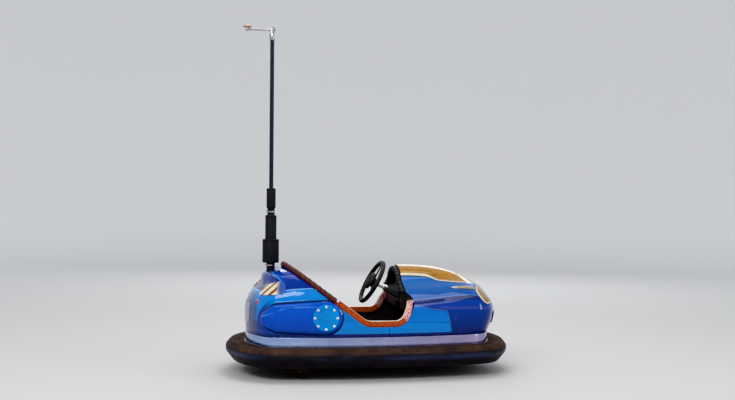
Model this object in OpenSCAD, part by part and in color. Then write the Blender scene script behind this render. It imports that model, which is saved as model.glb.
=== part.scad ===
// Fairground bumper car, two seats, with a current pole. Millimetres, +X forward, +Z up, floor at z = 0.

/* [Plan] */
// Length over the bumper
car_l = 1950; // [1850:10:2050]
// Width over the bumper
car_w = 1140; // [1080:10:1200]
// Radius of the bow along each side
side_r = 3600; // [3200:100:4200]
// Radius of the four corners
corner_r = 280; // [250:10:310]
// Radius of the bow across each end
end_r = 760; // [700:10:820]

/* [Bumper] */
// Height of the bumper's underside above the floor
bumper_z = 88; // [80:1:100]
// Height of the rubber
bumper_h = 130; // [120:1:140]
// Depth of the rubber, measured inwards
bumper_d = 128; // [120:1:130]
// How far the lower edge of the rubber is drawn in
bumper_undercut = 50; // [40:1:60]
// Thickness of the steel band behind the rubber
band_t = 6; // [4:1:8]
// Thickness of the polished skirt
skirt_t = 3; // [2:0.5:4]
// Height of the skirt's top edge, where the body sits
skirt_top = 280; // [270:1:290]

/* [Body] */
// Thickness of the moulded shell
shell_t = 6; // [5:0.5:8]
// How far the body stands in from the bumper's outer line
body_in = 135; // [134:1:142]
// Most that the wall swells outwards
body_bulge = 8; // [4:1:12]
// How much more it swells at the nose
nose_bulge = 35; // [28:1:38]
// Height of the wall's widest line
waist_z = 425; // [410:1:440]
// How far the shoulder is drawn in
shoulder_in = 52; // [40:1:60]
// How much more it is drawn in at the tail
tail_in = 40; // [30:1:50]
// How far the nose's shoulder stands out past the foot of the wall
nose_out = 20; // [10:1:26]
// How far the tail wall leans for each millimetre of height
tail_lean = 0.03; // [0.02:0.01:0.06]
// Length of the hood's spine against the plan
hood_share = 0.9; // [0.86:0.01:0.92]
// Length of the deck's spine against the plan
deck_share = 0.93; // [0.9:0.01:0.95]
// Place of the butt joint between the front and the rear moulding
split_x = 60; // [20:5:100]

/* [Cockpit] */
// Height of the sill in the side opening
sill_z = 345; // [335:1:355]
// Place of the cowl's rear edge
cowl_x = 205; // [195:1:220]
// Place of the top of the seat back's edge
seat_top_x = -592; // [-600:1:-580]
// Place where the rear slope would meet the sill
slope_x = -100; // [-120:1:-80]
// Place of the front of the side opening
notch_x = 252; // [245:1:265]
// Height of the front of the side opening
notch_z = 520; // [505:1:530]
// Depth of the coloured edge band
trim_w = 42; // [34:1:48]
// Radius of the padded roll along the seat back's edge
roll_r = 19; // [15:1:22]

/* [Chassis] */
// Height of the underside of the frame tubes
frame_z = 100; // [96:1:106]
// Size of the square frame tube
frame_tube = 40; // [30:1:45]
// Thickness of the frame tube's wall
tube_wall = 4; // [3:0.5:5]
// Thickness of the floor plate
floor_t = 4; // [3:0.5:6]
// Place of the two rails on either side
rail_y = 225; // [215:1:240]

/* [Steering] */
// Place of the drive unit's vertical axis
drive_x = 430; // [420:1:440]
// Height of the joint between the column and the drive unit
joint_z = 388; // [380:1:396]
// Slope of the steering column
column_tilt = 29; // [26:0.5:32]
// Distance from the joint to the steering wheel's plane
column_l = 452; // [440:1:465]
// Radius of the steering wheel, to the middle of its rim
swheel_r = 150; // [140:1:158]
// Radius of the steering wheel's rim
swheel_rim = 15; // [12:1:17]

/* [Wheels] */
// Radius of the drive wheel
drive_r = 100; // [96:1:104]
// Width of the drive tyre
drive_w = 62; // [56:1:66]
// Radius of the rear wheels
rear_r = 82; // [78:1:86]
// Width of the rear tyres
rear_w = 44; // [38:1:50]
// Place of the rear axle
rear_x = -500; // [-515:1:-485]
// Place of the middle of each rear wheel
rear_y = 298; // [294:1:302]
// Radius of the rear axle
axle_r = 12.5; // [11:0.5:14]

/* [Pole] */
// Place of the current pole
pole_x = -676; // [-682:1:-670]
// Radius of the pole
pole_r = 14; // [12:1:16]
// Height of the top of the pole
pole_top = 2290; // [2200:5:2350]
// Length of the contact arm
arm_l = 170; // [150:1:190]

/* [Clearances] */
// Gap between turning pieces
run_gap = 0.4; // [0.3:0.1:0.6]
// Gap between curved pieces that seat on each other
seat_gap = 0.3; // [0.2:0.1:0.4]

/* [Hidden] */

half_l = car_l / 2;
half_w = car_w / 2;
bumper_top = bumper_z + bumper_h;
floor_z = frame_z + frame_tube;
floor_top = floor_z + floor_t;

// Centres of the plan's arcs, and the angles where they meet
side_c = half_w - side_r;
end_c = half_l - end_r;
reach_a = side_r - corner_r;
reach_b = end_r - corner_r;
span = norm([end_c, side_c]);
along = (reach_a * reach_a - reach_b * reach_b + span * span) / (2 * span);
aside = sqrt(reach_a * reach_a - along * along);
corner_c = [0, side_c] + along / span * [end_c, -side_c] + aside / span * [-side_c, -end_c];
side_a = atan2(corner_c.y - side_c, corner_c.x);
end_a = atan2(corner_c.y, corner_c.x - end_c);

// Corner arcs run on into their neighbours by lap_a degrees and stand lap proud, so that all are one solid
lap = 0.05;
lap_a = 0.4;
// Sweeps a profile of (distance outwards from the bumper's outer line, height) round the plan
module ring_sweep() {
    for (turn = [0, 180]) {
        rotate([0, 0, turn]) {
            translate([end_c, 0, 0])
                rotate_extrude(angle = 2 * end_a, start = -end_a, $fn = 120)
                    translate([end_r, 0]) children();
            translate([0, side_c, 0])
                rotate_extrude(angle = 180 - 2 * side_a, start = side_a, $fn = 360)
                    translate([side_r, 0]) children();
            for (flip = [0, 1])
                mirror([0, flip, 0])
                    translate([corner_c.x, corner_c.y, 0])
                        rotate_extrude(angle = side_a - end_a + 2 * lap_a, start = end_a - lap_a, $fn = 72)
                            translate([corner_r + lap, lap]) children();
        }
    }
}

// Steps along one quarter of the plan: end arc, corner arc, side arc
end_n = 4;
corner_n = 5;
side_n = 6;
quarter_n = end_n + corner_n + side_n;
loop_n = 4 * quarter_n;

// Direction outwards at step k of the first quarter, and the point there
function quarter_a(k) =
    k <= end_n ? end_a * k / end_n
    : k <= end_n + corner_n ? end_a + (side_a - end_a) * (k - end_n) / corner_n
    : side_a + (90 - side_a) * (k - end_n - corner_n) / side_n;
function quarter_p(k, out) =
    let (a = quarter_a(k), d = [cos(a), sin(a)])
    k <= end_n ? [end_c, 0] + (end_r + out) * d
    : k <= end_n + corner_n ? corner_c + (corner_r + out) * d
    : [0, side_c] + (side_r + out) * d;
function plan_p(i, out) =
    let (q = floor(i / quarter_n) % 4, k = i % quarter_n,
        p = quarter_p(q % 2 == 0 ? k : quarter_n - k, out))
    [q == 1 || q == 2 ? -p.x : p.x, q >= 2 ? -p.y : p.y];

// Height of the shoulder along the body: place, height
shoulder_line = [[-900, 560], [-780, 628], [-640, 650], [-330, 640], [150, 500], [400, 515], [640, 532],
    [780, 510], [900, 462]];
// Height of the spine along the body: place, height
spine_line = [[-760, 640], [-725, 668], [-670, 690], [-590, 712], [150, 722], [230, 725], [350, 722],
    [450, 713], [565, 690], [665, 652], [720, 620], [760, 585]];
// Rise from the shoulder to the spine: share of the way in, share of the rise at the hood, nose and deck
crown = [[0, 0, 0, 0], [0.1, 0.16, 0.24, 0.42], [0.24, 0.32, 0.48, 0.72], [0.42, 0.46, 0.72, 0.88],
    [0.58, 0.62, 0.88, 0.95], [0.66, 0.8, 0.92, 0.97], [0.8, 0.94, 0.97, 0.99], [0.97, 1, 1, 1]];
function crown_rise(w, column) = lookup(w, [for (row = crown) [row[0], row[column]]]);
// How much narrower the hood gets towards the nose
prow = 0.5;
// Wall levels: share of the height to the waist or to the shoulder above it
low_levels = [0, 0.35, 0.7, 1];
high_levels = [0.35, 0.65, 0.85, 1];

function clamp01(v) = max(0, min(1, v));
function tail_share(x) = clamp01((-x - 560) / 260);
function nose_share(x) = let (t = clamp01((x - 450) / 380)) t * t * (3 - 2 * t);
function wall_out(x, z, top) =
    let (n = nose_share(x), bulge = body_bulge + n * nose_bulge,
        inwards = (1 - n) * shoulder_in - n * nose_out + tail_share(x) * tail_in)
    -body_in - tail_share(x) * tail_lean * (z - skirt_top)
        + (z <= waist_z ? bulge * sin(90 * clamp01((z - skirt_top) / (waist_z - skirt_top)))
            : bulge - (bulge + inwards) * pow((z - waist_z) / (top - waist_z), 2.4));
function wall_p(i, share, high, t) =
    let (x = plan_p(i, -body_in).x, top = lookup(x, shoulder_line),
        z = high ? waist_z + share * (top - waist_z) : skirt_top + share * (waist_z - skirt_top),
        p = plan_p(i, wall_out(x, z, top) - t))
    [p.x, p.y, high ? z - share * t * 0.6 : z];
function crown_p(i, w, t) =
    let (edge = wall_p(i, 1, true, t), x = edge.x * (edge.x > 0 ? hood_share : deck_share),
        front = clamp01((edge.x + 300) / 400), n = nose_share(plan_p(i, -body_in).x),
        rise = front * ((1 - n) * crown_rise(w, 1) + n * crown_rise(w, 2)) + (1 - front) * crown_rise(w, 3),
        z = lookup(edge.x, shoulder_line) * (1 - rise) + lookup(x, spine_line) * rise)
    [edge.x + (x - edge.x) * w, edge.y * pow(1 - w, 1 + prow * nose_share(edge.x)), z - t];

// Body form, drawn in by t, with its lowest ring lowered by drop
module body_form(t, drop) {
    rings = concat(
        [for (s = low_levels)
            [for (i = [0 : loop_n - 1]) wall_p(i, s, false, t) - [0, 0, s == 0 ? drop : 0]]],
        [for (s = high_levels) [for (i = [0 : loop_n - 1]) wall_p(i, s, true, t)]],
        [for (r = [1 : len(crown) - 1]) [for (i = [0 : loop_n - 1]) crown_p(i, crown[r][0], t)]]);
    levels = len(rings);
    last = (levels - 1) * loop_n;
    half = loop_n / 2;
    polyhedron(
        points = [for (ring = rings) for (p = ring) p],
        faces = concat(
            [[for (i = [0 : loop_n - 1]) i]],
            [for (l = [0 : levels - 2]) for (i = [0 : loop_n - 1])
                let (a = l * loop_n + i, b = l * loop_n + (i + 1) % loop_n)
                    [a + loop_n, b + loop_n, b, a]],
            [for (i = [0 : half - 1])
                let (m = last + (loop_n - i) % loop_n, n = last + loop_n - i - 1)
                    i == 0 ? [last + 1, last, n]
                    : i == half - 1 ? [last + i + 1, last + i, m]
                    : [last + i + 1, last + i, m, n]]),
        convexity = 6);
}

module body_shell() {
    difference() {
        body_form(0, 0);
        body_form(shell_t, 12);
    }
}

// Arc that rounds the corner q between p and s, at radius r, drawn in towards its centre by inset
function corner_arc(p, q, s, r, inset = 0, n = 6) =
    let (u = (p - q) / norm(p - q), v = (s - q) / norm(s - q), half = acos(u * v) / 2,
        c = q + r / sin(half) * (u + v) / norm(u + v),
        from = q + r / tan(half) * u - c, to = q + r / tan(half) * v - c,
        a = atan2(from.y, from.x), turn = (atan2(to.y, to.x) - a + 540) % 360 - 180)
    [for (i = [0 : n]) c + (r - inset) * [cos(a + turn * i / n), sin(a + turn * i / n)]];
// Outline through corners of [x, y, radius]
function rounded(c, n = 6) =
    [for (i = [0 : len(c) - 1])
        let (q = c[i], p = c[(i + len(c) - 1) % len(c)], s = c[(i + 1) % len(c)])
        each (q.z > 0 ? corner_arc([p.x, p.y], [q.x, q.y], [s.x, s.y], q.z, 0, n) : [[q.x, q.y]])];

// Turns a drawing of (place along the car, height) upright and gives it a width across the car
module across(width) {
    rotate([90, 0, 0]) linear_extrude(height = width, center = true) children();
}

// Side opening, seen from the side: the seat back's edge, the slope, the sill, the notch and the cowl's edge
edge_top = 716;
above = 900;
p_seat = [seat_top_x, edge_top];
p_slope = [slope_x, sill_z];
p_front = [cowl_x - 37, sill_z];
p_notch = [notch_x, notch_z];
p_cowl = [cowl_x, notch_z + 42];
slope_r = 150;
front_r = 105;
notch_r = 48;
module cockpit_cut() {
    across(2 * car_w)
        polygon(concat([[seat_top_x, above], p_seat], corner_arc(p_seat, p_slope, p_front, slope_r),
            corner_arc(p_slope, p_front, p_notch, front_r), corner_arc(p_front, p_notch, p_cowl, notch_r),
            [p_cowl, [cowl_x, above]]));
}

// Patch on the body from one step of the plan to another, over levels of [share, part]: part 0 is the wall
// up to the waist, 1 the wall above it, 2 the crown. It fills from a to b off the surface, with its facets.
function body_p(i, level, t) =
    let (k = (i + loop_n) % loop_n)
    level[1] == 2 ? crown_p(k, level[0], t) : wall_p(k, level[0], level[1] > 0, t);
module body_patch(from, to, levels, a, b) {
    steps = concat([from], [for (i = [floor(from) + 1 : ceil(to) - 1]) i], [to]);
    n = len(steps) - 1;
    m = n + 1;
    rows = len(levels);
    sheet = m * rows;
    points = [for (off = [b, a]) for (level = levels) for (i = steps) body_p(i, level, -off)];
    rim = concat([for (i = [0 : n]) i], [for (r = [1 : rows - 1]) r * m + n],
        [for (i = [n - 1 : -1 : 0]) (rows - 1) * m + i], [for (r = [rows - 2 : -1 : 1]) r * m]);
    polyhedron(points = points,
        faces = concat(
            [for (r = [0 : rows - 2]) for (i = [0 : n - 1]) let (p = r * m + i)
                each [[p, p + m, p + m + 1], [p, p + m + 1, p + 1]]],
            [for (r = [0 : rows - 2]) for (i = [0 : n - 1]) let (p = sheet + r * m + i)
                each [[p, p + m + 1, p + m], [p, p + 1, p + m + 1]]],
            [for (k = [0 : len(rim) - 1]) let (p = rim[k], q = rim[(k + 1) % len(rim)])
                each [[p, q, q + sheet], [p, q + sheet, p + sheet]]]));
}

// Places its children on the wall where the outward direction is angle a, at height z, with +Z outwards
function plan_at(a, out) =
    let (s = a > 180 ? a - 360 : a, k = abs(s) > 90 ? 180 - abs(s) : abs(s), d = [cos(k), sin(k)],
        p = k <= end_a ? [end_c, 0] + (end_r + out) * d
            : k <= side_a ? corner_c + (corner_r + out) * d
            : [0, side_c] + (side_r + out) * d)
    [abs(s) > 90 ? -p.x : p.x, s < 0 ? -p.y : p.y];
module on_wall(a, z, out) {
    p = plan_at(a, out);
    translate([p.x, p.y, z]) rotate([0, 90, a]) children();
}

// Rounded fender on each rear quarter: outward direction, radius, height
fender_line = [[96, 118, 412], [98.4, 112, 411], [100.8, 104, 409], [109, 93, 406], [121, 78, 402],
    [133, 61, 397], [144, 42, 392]];
fender_out = 20;
fender_lip = 22;
module fender_disc(row, side) {
    on_wall(side * row[0], row[2], -body_in) {
        translate([0, 0, -1]) cylinder(r = row[1], h = body_bulge + 3, $fn = 28);
        translate([0, 0, -1]) cylinder(r = row[1] - fender_lip, h = fender_out + 1, $fn = 28);
    }
}
module fenders() {
    for (side = [-1, 1], i = [0 : len(fender_line) - 2])
        hull() {
            fender_disc(fender_line[i], side);
            fender_disc(fender_line[i + 1], side);
        }
}

// Lamp in the tail wall: outward direction, height, radius
tail_lamp_a = 160;
tail_lamp_z = 500;
tail_lamp_r = 19;
tail_lamp_back = 25;
module tail_lamp_places() {
    for (side = [-1, 1])
        on_wall(side * tail_lamp_a, tail_lamp_z, -body_in) children();
}

// Dash panel under the cowl, seen from behind
dash_x = cowl_x + 14;
dash_t = 6;
dash_foot = waist_z;
pad_l = 50;
function side_step(x) =
    end_n + corner_n + side_n * (acos(x / (side_r - body_in)) - side_a) / (90 - side_a);
function cowl_section(t) =
    let (i = side_step(2 * dash_x / (1 + hood_share)))
    concat([for (s = [0, 0.5]) let (p = wall_p(i, s, true, t)) [p.y, p.z]],
        [for (row = crown) let (p = crown_p(i, row[0], t)) [p.y, p.z]]);
module cowl_outline(t, foot) {
    rim = [for (p = cowl_section(t)) if (p.y >= foot) p];
    polygon(concat([[rim[0].x, foot]], rim, [for (i = [len(rim) - 1 : -1 : 0]) [-rim[i].x, rim[i].y]],
        [[-rim[0].x, foot]]));
}
// Raises a drawing of (place across the car, height) along the car
module along_car(x, length) {
    translate([x, 0, 0]) rotate([90, 0, 90]) linear_extrude(height = length) children();
}

// Intake in the nose: steps of the plan, and levels of the wall
grille_from = 1.1;
grille_to = 2.9;
grille_low = 0.4;
grille_high = 0.93;
module grille_places(a, b, spare) {
    for (side = [0, 1])
        mirror([0, side, 0])
            body_patch(grille_from - spare, grille_to + spare,
                [[grille_low - spare, 0], [0.7, 0], [grille_high + spare, 0]], a, b);
}

// Headlamp in each flank of the hood: steps of the plan, and rows of the crown
lamp_from = 7.2;
lamp_to = 10.1;
lamp_low = 0.165;
lamp_high = 0.25;
module headlamp_places(a, b, spare) {
    for (side = [0, 1])
        mirror([0, side, 0])
            body_patch(lamp_from - spare, lamp_to + spare,
                [[lamp_low - spare, 2], [lamp_high + spare, 2]], a, b);
}

module front_body() {
    color("royalblue")
        difference() {
            body_shell();
            cockpit_cut();
            translate([split_x - car_l, -car_w, 0]) cube([car_l, 2 * car_w, 2 * above]);
            grille_places(-2 * shell_t, shell_t, 0.003);
            headlamp_places(-2 * shell_t, shell_t, 0.002);
        }
}

disc_r = 88;
disc_t = 9;
disc_place = fender_line[0];
module rear_body() {
    color("royalblue")
        difference() {
            union() {
                body_shell();
                fenders();
            }
            cockpit_cut();
            translate([split_x, -car_w, 0]) cube([car_l, 2 * car_w, 2 * above]);
            translate([pole_x, 0, floor_top]) cylinder(r = sleeve_foot_r + seat_gap, h = above);
            tail_lamp_places()
                translate([0, 0, -3 * tail_lamp_r]) cylinder(r = tail_lamp_r + seat_gap, h = 5 * tail_lamp_r);
            for (side = [-1, 1])
                on_wall(side * disc_place[0], disc_place[2], -body_in + fender_out - seat_gap)
                    cylinder(r = disc_r + seat_gap, h = disc_t, $fn = 40);
        }
}

// Coloured moulding round the side opening, on the edge of the shell
trim_run = 190;
trim_d = 44;
trim_out = half_w - body_in + body_bulge + 5;
trim_in = trim_out - trim_d - seat_gap;
module opening_trims() {
    up = (p_seat - p_slope) / norm(p_seat - p_slope);
    inward = [-up.y, up.x] * -1;
    edge = function (w) concat(corner_arc(p_seat, p_slope, p_front, slope_r, w),
        corner_arc(p_slope, p_front, p_notch, front_r, w));
    notch = function (w) [for (i = [0 : 3]) corner_arc(p_front, p_notch, p_cowl, notch_r, w)[i]];
    outer = concat(edge(seat_gap), notch(seat_gap));
    inner = concat(edge(trim_w), notch(trim_w));
    strip = concat([outer[0] + up * trim_run], outer, [for (i = [len(inner) - 1 : -1 : 0]) inner[i]],
        [inner[0] + up * trim_run]);
    color("orangered")
        for (side = [-1, 1])
            translate([0, side * (trim_out - trim_d / 2), 0])
                across(trim_d) polygon(strip);
}

// Route of the padded roll over the seat back's edge, from the end of the coloured moulding: height, share of
// the way in over the crown
slope_dir = (p_seat - p_slope) / norm(p_seat - p_slope);
roll_off = [slope_dir.y, -slope_dir.x] * (roll_r + 2 * seat_gap);
slope_turn = acos(slope_dir * [1, 0]);
roll_start = slope_r / tan(slope_turn / 2) + trim_run + roll_r + seat_gap;
function side_y(x, out) = side_c + sqrt(pow(side_r + out, 2) - x * x);
function slope_at(z) = seat_top_x + (edge_top - z) / (edge_top - sill_z) * (slope_x - seat_top_x);
roll_rows = [[sill_z + roll_start * slope_dir.y, 0], [640, 0], [690, 0.24], [713, 0.62], [716, 1]];
roll_route = [for (row = roll_rows)
    let (x = slope_at(row[0]), top = lookup(x, shoulder_line),
        y = side_y(x, wall_out(x, min(row[0], top), top) - shell_t / 2) * (1 - row[1]))
    [x + roll_off.x, y, row[0] + roll_off.y]];
module seat_back_roll() {
    color("saddlebrown")
        for (side = [-1, 1], i = [0 : len(roll_route) - 2])
            hull()
                for (p = [roll_route[i], roll_route[i + 1]])
                    translate([p.x, side * p.y, p.z]) sphere(r = roll_r, $fn = 12);
}

module bumper_ring() {
    color("dimgray")
        ring_sweep()
            polygon(rounded([[-bumper_d, bumper_z + 6, 0], [-bumper_undercut, bumper_z, 10],
                [0, bumper_z + 62, 45], [0, bumper_top - 34, 30], [-30, bumper_top, 16],
                [-bumper_d, bumper_top - 4, 0]], 3));
}

band_out = -bumper_d - seat_gap;
band_in = band_out - band_t;
foot_z = frame_z - seat_gap;
module bumper_band() {
    color("silver")
        ring_sweep()
            polygon([[band_out, foot_z - band_t], [band_out, bumper_top - 4], [band_in, bumper_top - 4],
                [band_in, foot_z], [band_in - frame_tube - 8, foot_z],
                [band_in - frame_tube - 8, foot_z - band_t]]);
}

skirt_lap = 18;
skirt_foot = bumper_top - 4 - skirt_lap;
skirt_shelf = 18;
shelf_z = skirt_top - seat_gap;
skirt_in = band_in - seat_gap;
module kick_skirt() {
    color("lightsteelblue")
        ring_sweep()
            polygon([[skirt_in, skirt_foot], [skirt_in, shelf_z - skirt_t],
                [-body_in + 3, shelf_z - skirt_t], [-body_in + 3, shelf_z],
                [-body_in - skirt_shelf, shelf_z], [-body_in - skirt_shelf, shelf_z - skirt_t],
                [skirt_in - skirt_t, shelf_z - skirt_t], [skirt_in - skirt_t, skirt_foot]]);
}

ring_out = band_in - 10;
module tube_bar(from, to) {
    reach = to - from;
    translate([from.x, from.y, frame_z])
        rotate([0, 0, atan2(reach.y, reach.x)])
            translate([0, -frame_tube / 2, 0]) cube([norm(reach), frame_tube, frame_tube]);
}
// From the middle of a tube to the end of one that meets it
rail_side = frame_tube / 2 + seat_gap;
// Half length of the rails, so that the end bars' corners seat on the hoop
rail_end = end_c + sqrt(pow(end_r + ring_out - frame_tube - seat_gap, 2) - rail_y * rail_y) - frame_tube / 2;
socket_r = 24;
socket_top = 640;
well_r = 172;
strut_x = [-250, 150];
tail_bar_x = -600;
cross_x = [-rail_end, tail_bar_x, -390, drive_x - 215, drive_x + 215, rail_end];
module chassis_frame() {
    color("darkslategray")
        difference() {
            union() {
                for (side = [-1, 1]) tube_bar([-rail_end, side * rail_y], [rail_end, side * rail_y]);
                for (x = cross_x) tube_bar([x, -rail_y + rail_side], [x, rail_y - rail_side]);
                for (x = strut_x, side = [-1, 1])
                    tube_bar([x, side * (rail_y + rail_side)],
                        [x, side * (side_y(abs(x) + frame_tube / 2, ring_out - frame_tube) - seat_gap)]);
                tube_bar([tail_bar_x - rail_side, 0], [-rail_end + rail_side, 0]);
                translate([pole_x, 0, floor_z + seat_gap])
                    cylinder(r = socket_r, h = socket_top - floor_z - seat_gap);
            }
            translate([pole_x, 0, floor_top]) cylinder(r = pole_r + seat_gap, h = above);
        }
}
module frame_hoop() {
    hoop = frame_tube - seat_gap;
    color("darkslategray")
        ring_sweep()
            difference() {
                translate([ring_out - frame_tube, frame_z]) square([frame_tube, hoop]);
                translate([ring_out - frame_tube + tube_wall, frame_z + tube_wall])
                    square([frame_tube - 2 * tube_wall, hoop - 2 * tube_wall]);
            }
}

wheel_room = 12;
module floor_plate() {
    color("gray")
        difference() {
            translate([0, 0, floor_z])
                linear_extrude(height = floor_t)
                    polygon([for (i = [0 : loop_n - 1]) plan_p(i, ring_out)]);
            translate([drive_x, 0, 0]) cylinder(r = well_r, h = above);
            translate([pole_x, 0, 0]) cylinder(r = socket_r + seat_gap, h = above);
            for (side = [-1, 1])
                translate([rear_x, side * rear_y, floor_z])
                    cube([2 * (rear_r + wheel_room), rear_w + 2 * wheel_room, 4 * frame_tube], center = true);
        }
}

turn_ring_h = 26;
turn_ring_r = 206;
turn_ring_top = floor_top + turn_ring_h;
drum_r = 160;
module turntable_ring() {
    color("gray")
        translate([drive_x, 0, floor_top])
            difference() {
                cylinder(r = turn_ring_r, h = turn_ring_h);
                translate([0, 0, -1]) cylinder(r = drum_r + run_gap, h = turn_ring_h + 2);
            }
}

flange_r = 186;
flange_t = 10;
flange_z = turn_ring_top + run_gap;
fork_gap = 8;
fork_t = 9;
fork_y = drive_w / 2 + fork_gap;
slot_l = 160;
pin_r = 10;
module drive_turntable() {
    color("slategray")
        translate([drive_x, 0, 0])
            difference() {
                union() {
                    translate([0, 0, flange_z]) cylinder(r = flange_r, h = flange_t);
                    translate([0, 0, floor_z - 8]) cylinder(r = drum_r, h = flange_z - floor_z + 9);
                }
                translate([0, 0, floor_z - 9]) cylinder(r = drum_r - 12, h = flange_z - floor_z + 9);
                translate([-slot_l / 2, -fork_y - fork_t, 0]) cube([slot_l, 2 * (fork_y + fork_t), above]);
            }
}

head_z = 2 * drive_r + 12;
head_t = 12;
module drive_fork() {
    color("slategray")
        translate([drive_x, 0, 0])
            difference() {
                union() {
                    for (side = [-1, 1])
                        translate([0, side * (fork_y + fork_t / 2), 0])
                            across(fork_t)
                                polygon(rounded([[-38, drive_r - 38, 30], [38, drive_r - 38, 30],
                                    [slot_l / 2, flange_z + 4, 0], [slot_l / 2, head_z + 1, 0],
                                    [-slot_l / 2, head_z + 1, 0], [-slot_l / 2, flange_z + 4, 0]]));
                    translate([-slot_l / 2, -fork_y - fork_t, head_z])
                        cube([slot_l, 2 * (fork_y + fork_t), head_t]);
                    translate([0, fork_y + fork_t - 1, drive_r])
                        rotate([-90, 0, 0]) cylinder(r = 46, h = 24);
                }
                translate([0, 0, drive_r]) rotate([90, 0, 0])
                    cylinder(r = pin_r, h = 4 * drive_w, center = true);
            }
}

motor_r = 78;
ball_r = 14;
cup_z = joint_z - 8;
module drive_motor() {
    color("darkslategray")
        translate([drive_x, 0, 0])
            difference() {
                rotate_extrude($fn = 96)
                    polygon([[0, head_z + head_t], [motor_r - 8, head_z + head_t],
                        [motor_r - 8, head_z + head_t + 14], [motor_r, head_z + head_t + 14],
                        [motor_r, joint_z - 42], [motor_r - 14, joint_z - 28],
                        [24, joint_z - 28], [20, joint_z - 24], [20, cup_z], [0, cup_z]]);
                translate([0, 0, joint_z]) sphere(r = ball_r + run_gap, $fn = 48);
            }
}

hub_w = drive_w + 4;
module drive_hub() {
    color("gray")
        translate([drive_x, 0, drive_r]) rotate([90, 0, 0]) {
            difference() {
                union() {
                    cylinder(r = drive_r * 0.62, h = drive_w - 14, center = true);
                    cylinder(r = 26, h = hub_w, center = true);
                }
                for (i = [0 : 4])
                    rotate([0, 0, 72 * i]) translate([drive_r * 0.42, 0, 0])
                        cylinder(r = 9, h = 2 * drive_w, center = true);
            }
            cylinder(r = pin_r - run_gap, h = 2 * (fork_y + fork_t + 2), center = true);
        }
}

module tyre(r, w, inner) {
    rotate_extrude($fn = 96)
        polygon(rounded([[inner, -w / 2 + 4, 0], [r - 6, -w / 2, 6], [r, -w / 2 + 8, 4], [r, w / 2 - 8, 4],
            [r - 6, w / 2, 6], [inner, w / 2 - 4, 0]], 3));
}
module drive_tyre() {
    color("dimgray")
        translate([drive_x, 0, drive_r]) rotate([90, 0, 0]) tyre(drive_r, drive_w, drive_r * 0.62);
}

bracket_t = 8;
bracket_y = rail_y + frame_tube / 2;
module rear_brackets() {
    color("darkslategray")
        for (side = [-1, 1])
            translate([0, side * (bracket_y + bracket_t / 2), 0])
                across(bracket_t)
                    difference() {
                        polygon(rounded([[rear_x - 26, rear_r - 26, 24], [rear_x + 26, rear_r - 26, 24],
                            [rear_x + 70, frame_z + 8, 6], [rear_x + 70, floor_z, 0],
                            [rear_x - 70, floor_z, 0], [rear_x - 70, frame_z + 8, 6]]));
                        translate([rear_x, rear_r]) circle(r = axle_r);
                    }
}

collar_r = 20;
collar_w = 6;
rear_hub_w = rear_w + 10;
collar_out = rear_hub_w / 2 + run_gap + collar_w / 2;
module rear_axle() {
    color("silver")
        translate([rear_x, 0, rear_r]) rotate([90, 0, 0]) {
            cylinder(r = axle_r, h = 2 * (rear_y + collar_out + collar_w / 2), center = true);
            for (side = [-1, 1], way = [-1, 1])
                translate([0, 0, side * (rear_y + way * collar_out)])
                    difference() {
                        cylinder(r = collar_r, h = collar_w, center = true, $fn = way > 0 ? 6 : 48);
                        cylinder(r = axle_r + seat_gap, h = 2 * collar_w, center = true);
                    }
        }
}
module rear_hub(side) {
    color("gray")
        translate([rear_x, side * rear_y, rear_r]) rotate([90, 0, 0])
            difference() {
                union() {
                    cylinder(r = rear_r * 0.62, h = rear_w - 12, center = true);
                    cylinder(r = 24, h = rear_hub_w, center = true);
                }
                cylinder(r = axle_r + run_gap, h = 2 * rear_hub_w, center = true);
                for (i = [0 : 4])
                    rotate([0, 0, 72 * i]) translate([rear_r * 0.46, 0, 0])
                        cylinder(r = 7, h = 2 * rear_w, center = true);
            }
}
module rear_tyre(side) {
    color("dimgray")
        translate([rear_x, side * rear_y, rear_r]) rotate([90, 0, 0]) tyre(rear_r, rear_w, rear_r * 0.62);
}
module rear_hub_left() { rear_hub(1); }
module rear_hub_right() { rear_hub(-1); }
module rear_tyre_left() { rear_tyre(1); }
module rear_tyre_right() { rear_tyre(-1); }

base_back = -604;
base_front = -165;
base_top = 300;
base_y = 355;
base_t = 8;
module seat_base() {
    color("darkgray")
        difference() {
            translate([base_back, -base_y, floor_top])
                cube([base_front - base_back, 2 * base_y, base_top - floor_top]);
            translate([base_back + base_t, -base_y + base_t, 0])
                cube([base_front - base_back - 2 * base_t, 2 * (base_y - base_t), base_top - base_t]);
        }
}
cushion_back = -498;
cushion_top = 412;
seat_y = 370;
module seat_cushion() {
    color("firebrick")
        across(2 * seat_y)
            polygon(rounded([[cushion_back, base_top, 0], [base_front + 6, base_top, 16],
                [base_front + 12, cushion_top - 6, 38], [cushion_back, cushion_top - 14, 20]]));
}
back_y = 352;
back_top = 670;
module seat_backrest() {
    color("firebrick")
        intersection() {
            across(2 * back_y)
                polygon(rounded([[base_back + 14, base_top, 0], [cushion_back - 1, base_top, 0],
                    [cushion_back - 30, back_top + 10, 26], [seat_top_x + 10, back_top + 6, 12],
                    [base_back + 14, base_top + 120, 40]]));
            along_car(base_back, cushion_back - base_back)
                polygon(rounded([[-back_y, base_top, 0], [back_y, base_top, 0], [back_y, 530, 80],
                    [278, back_top, 60], [-278, back_top, 60], [-back_y, 530, 80]]));
        }
}

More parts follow.
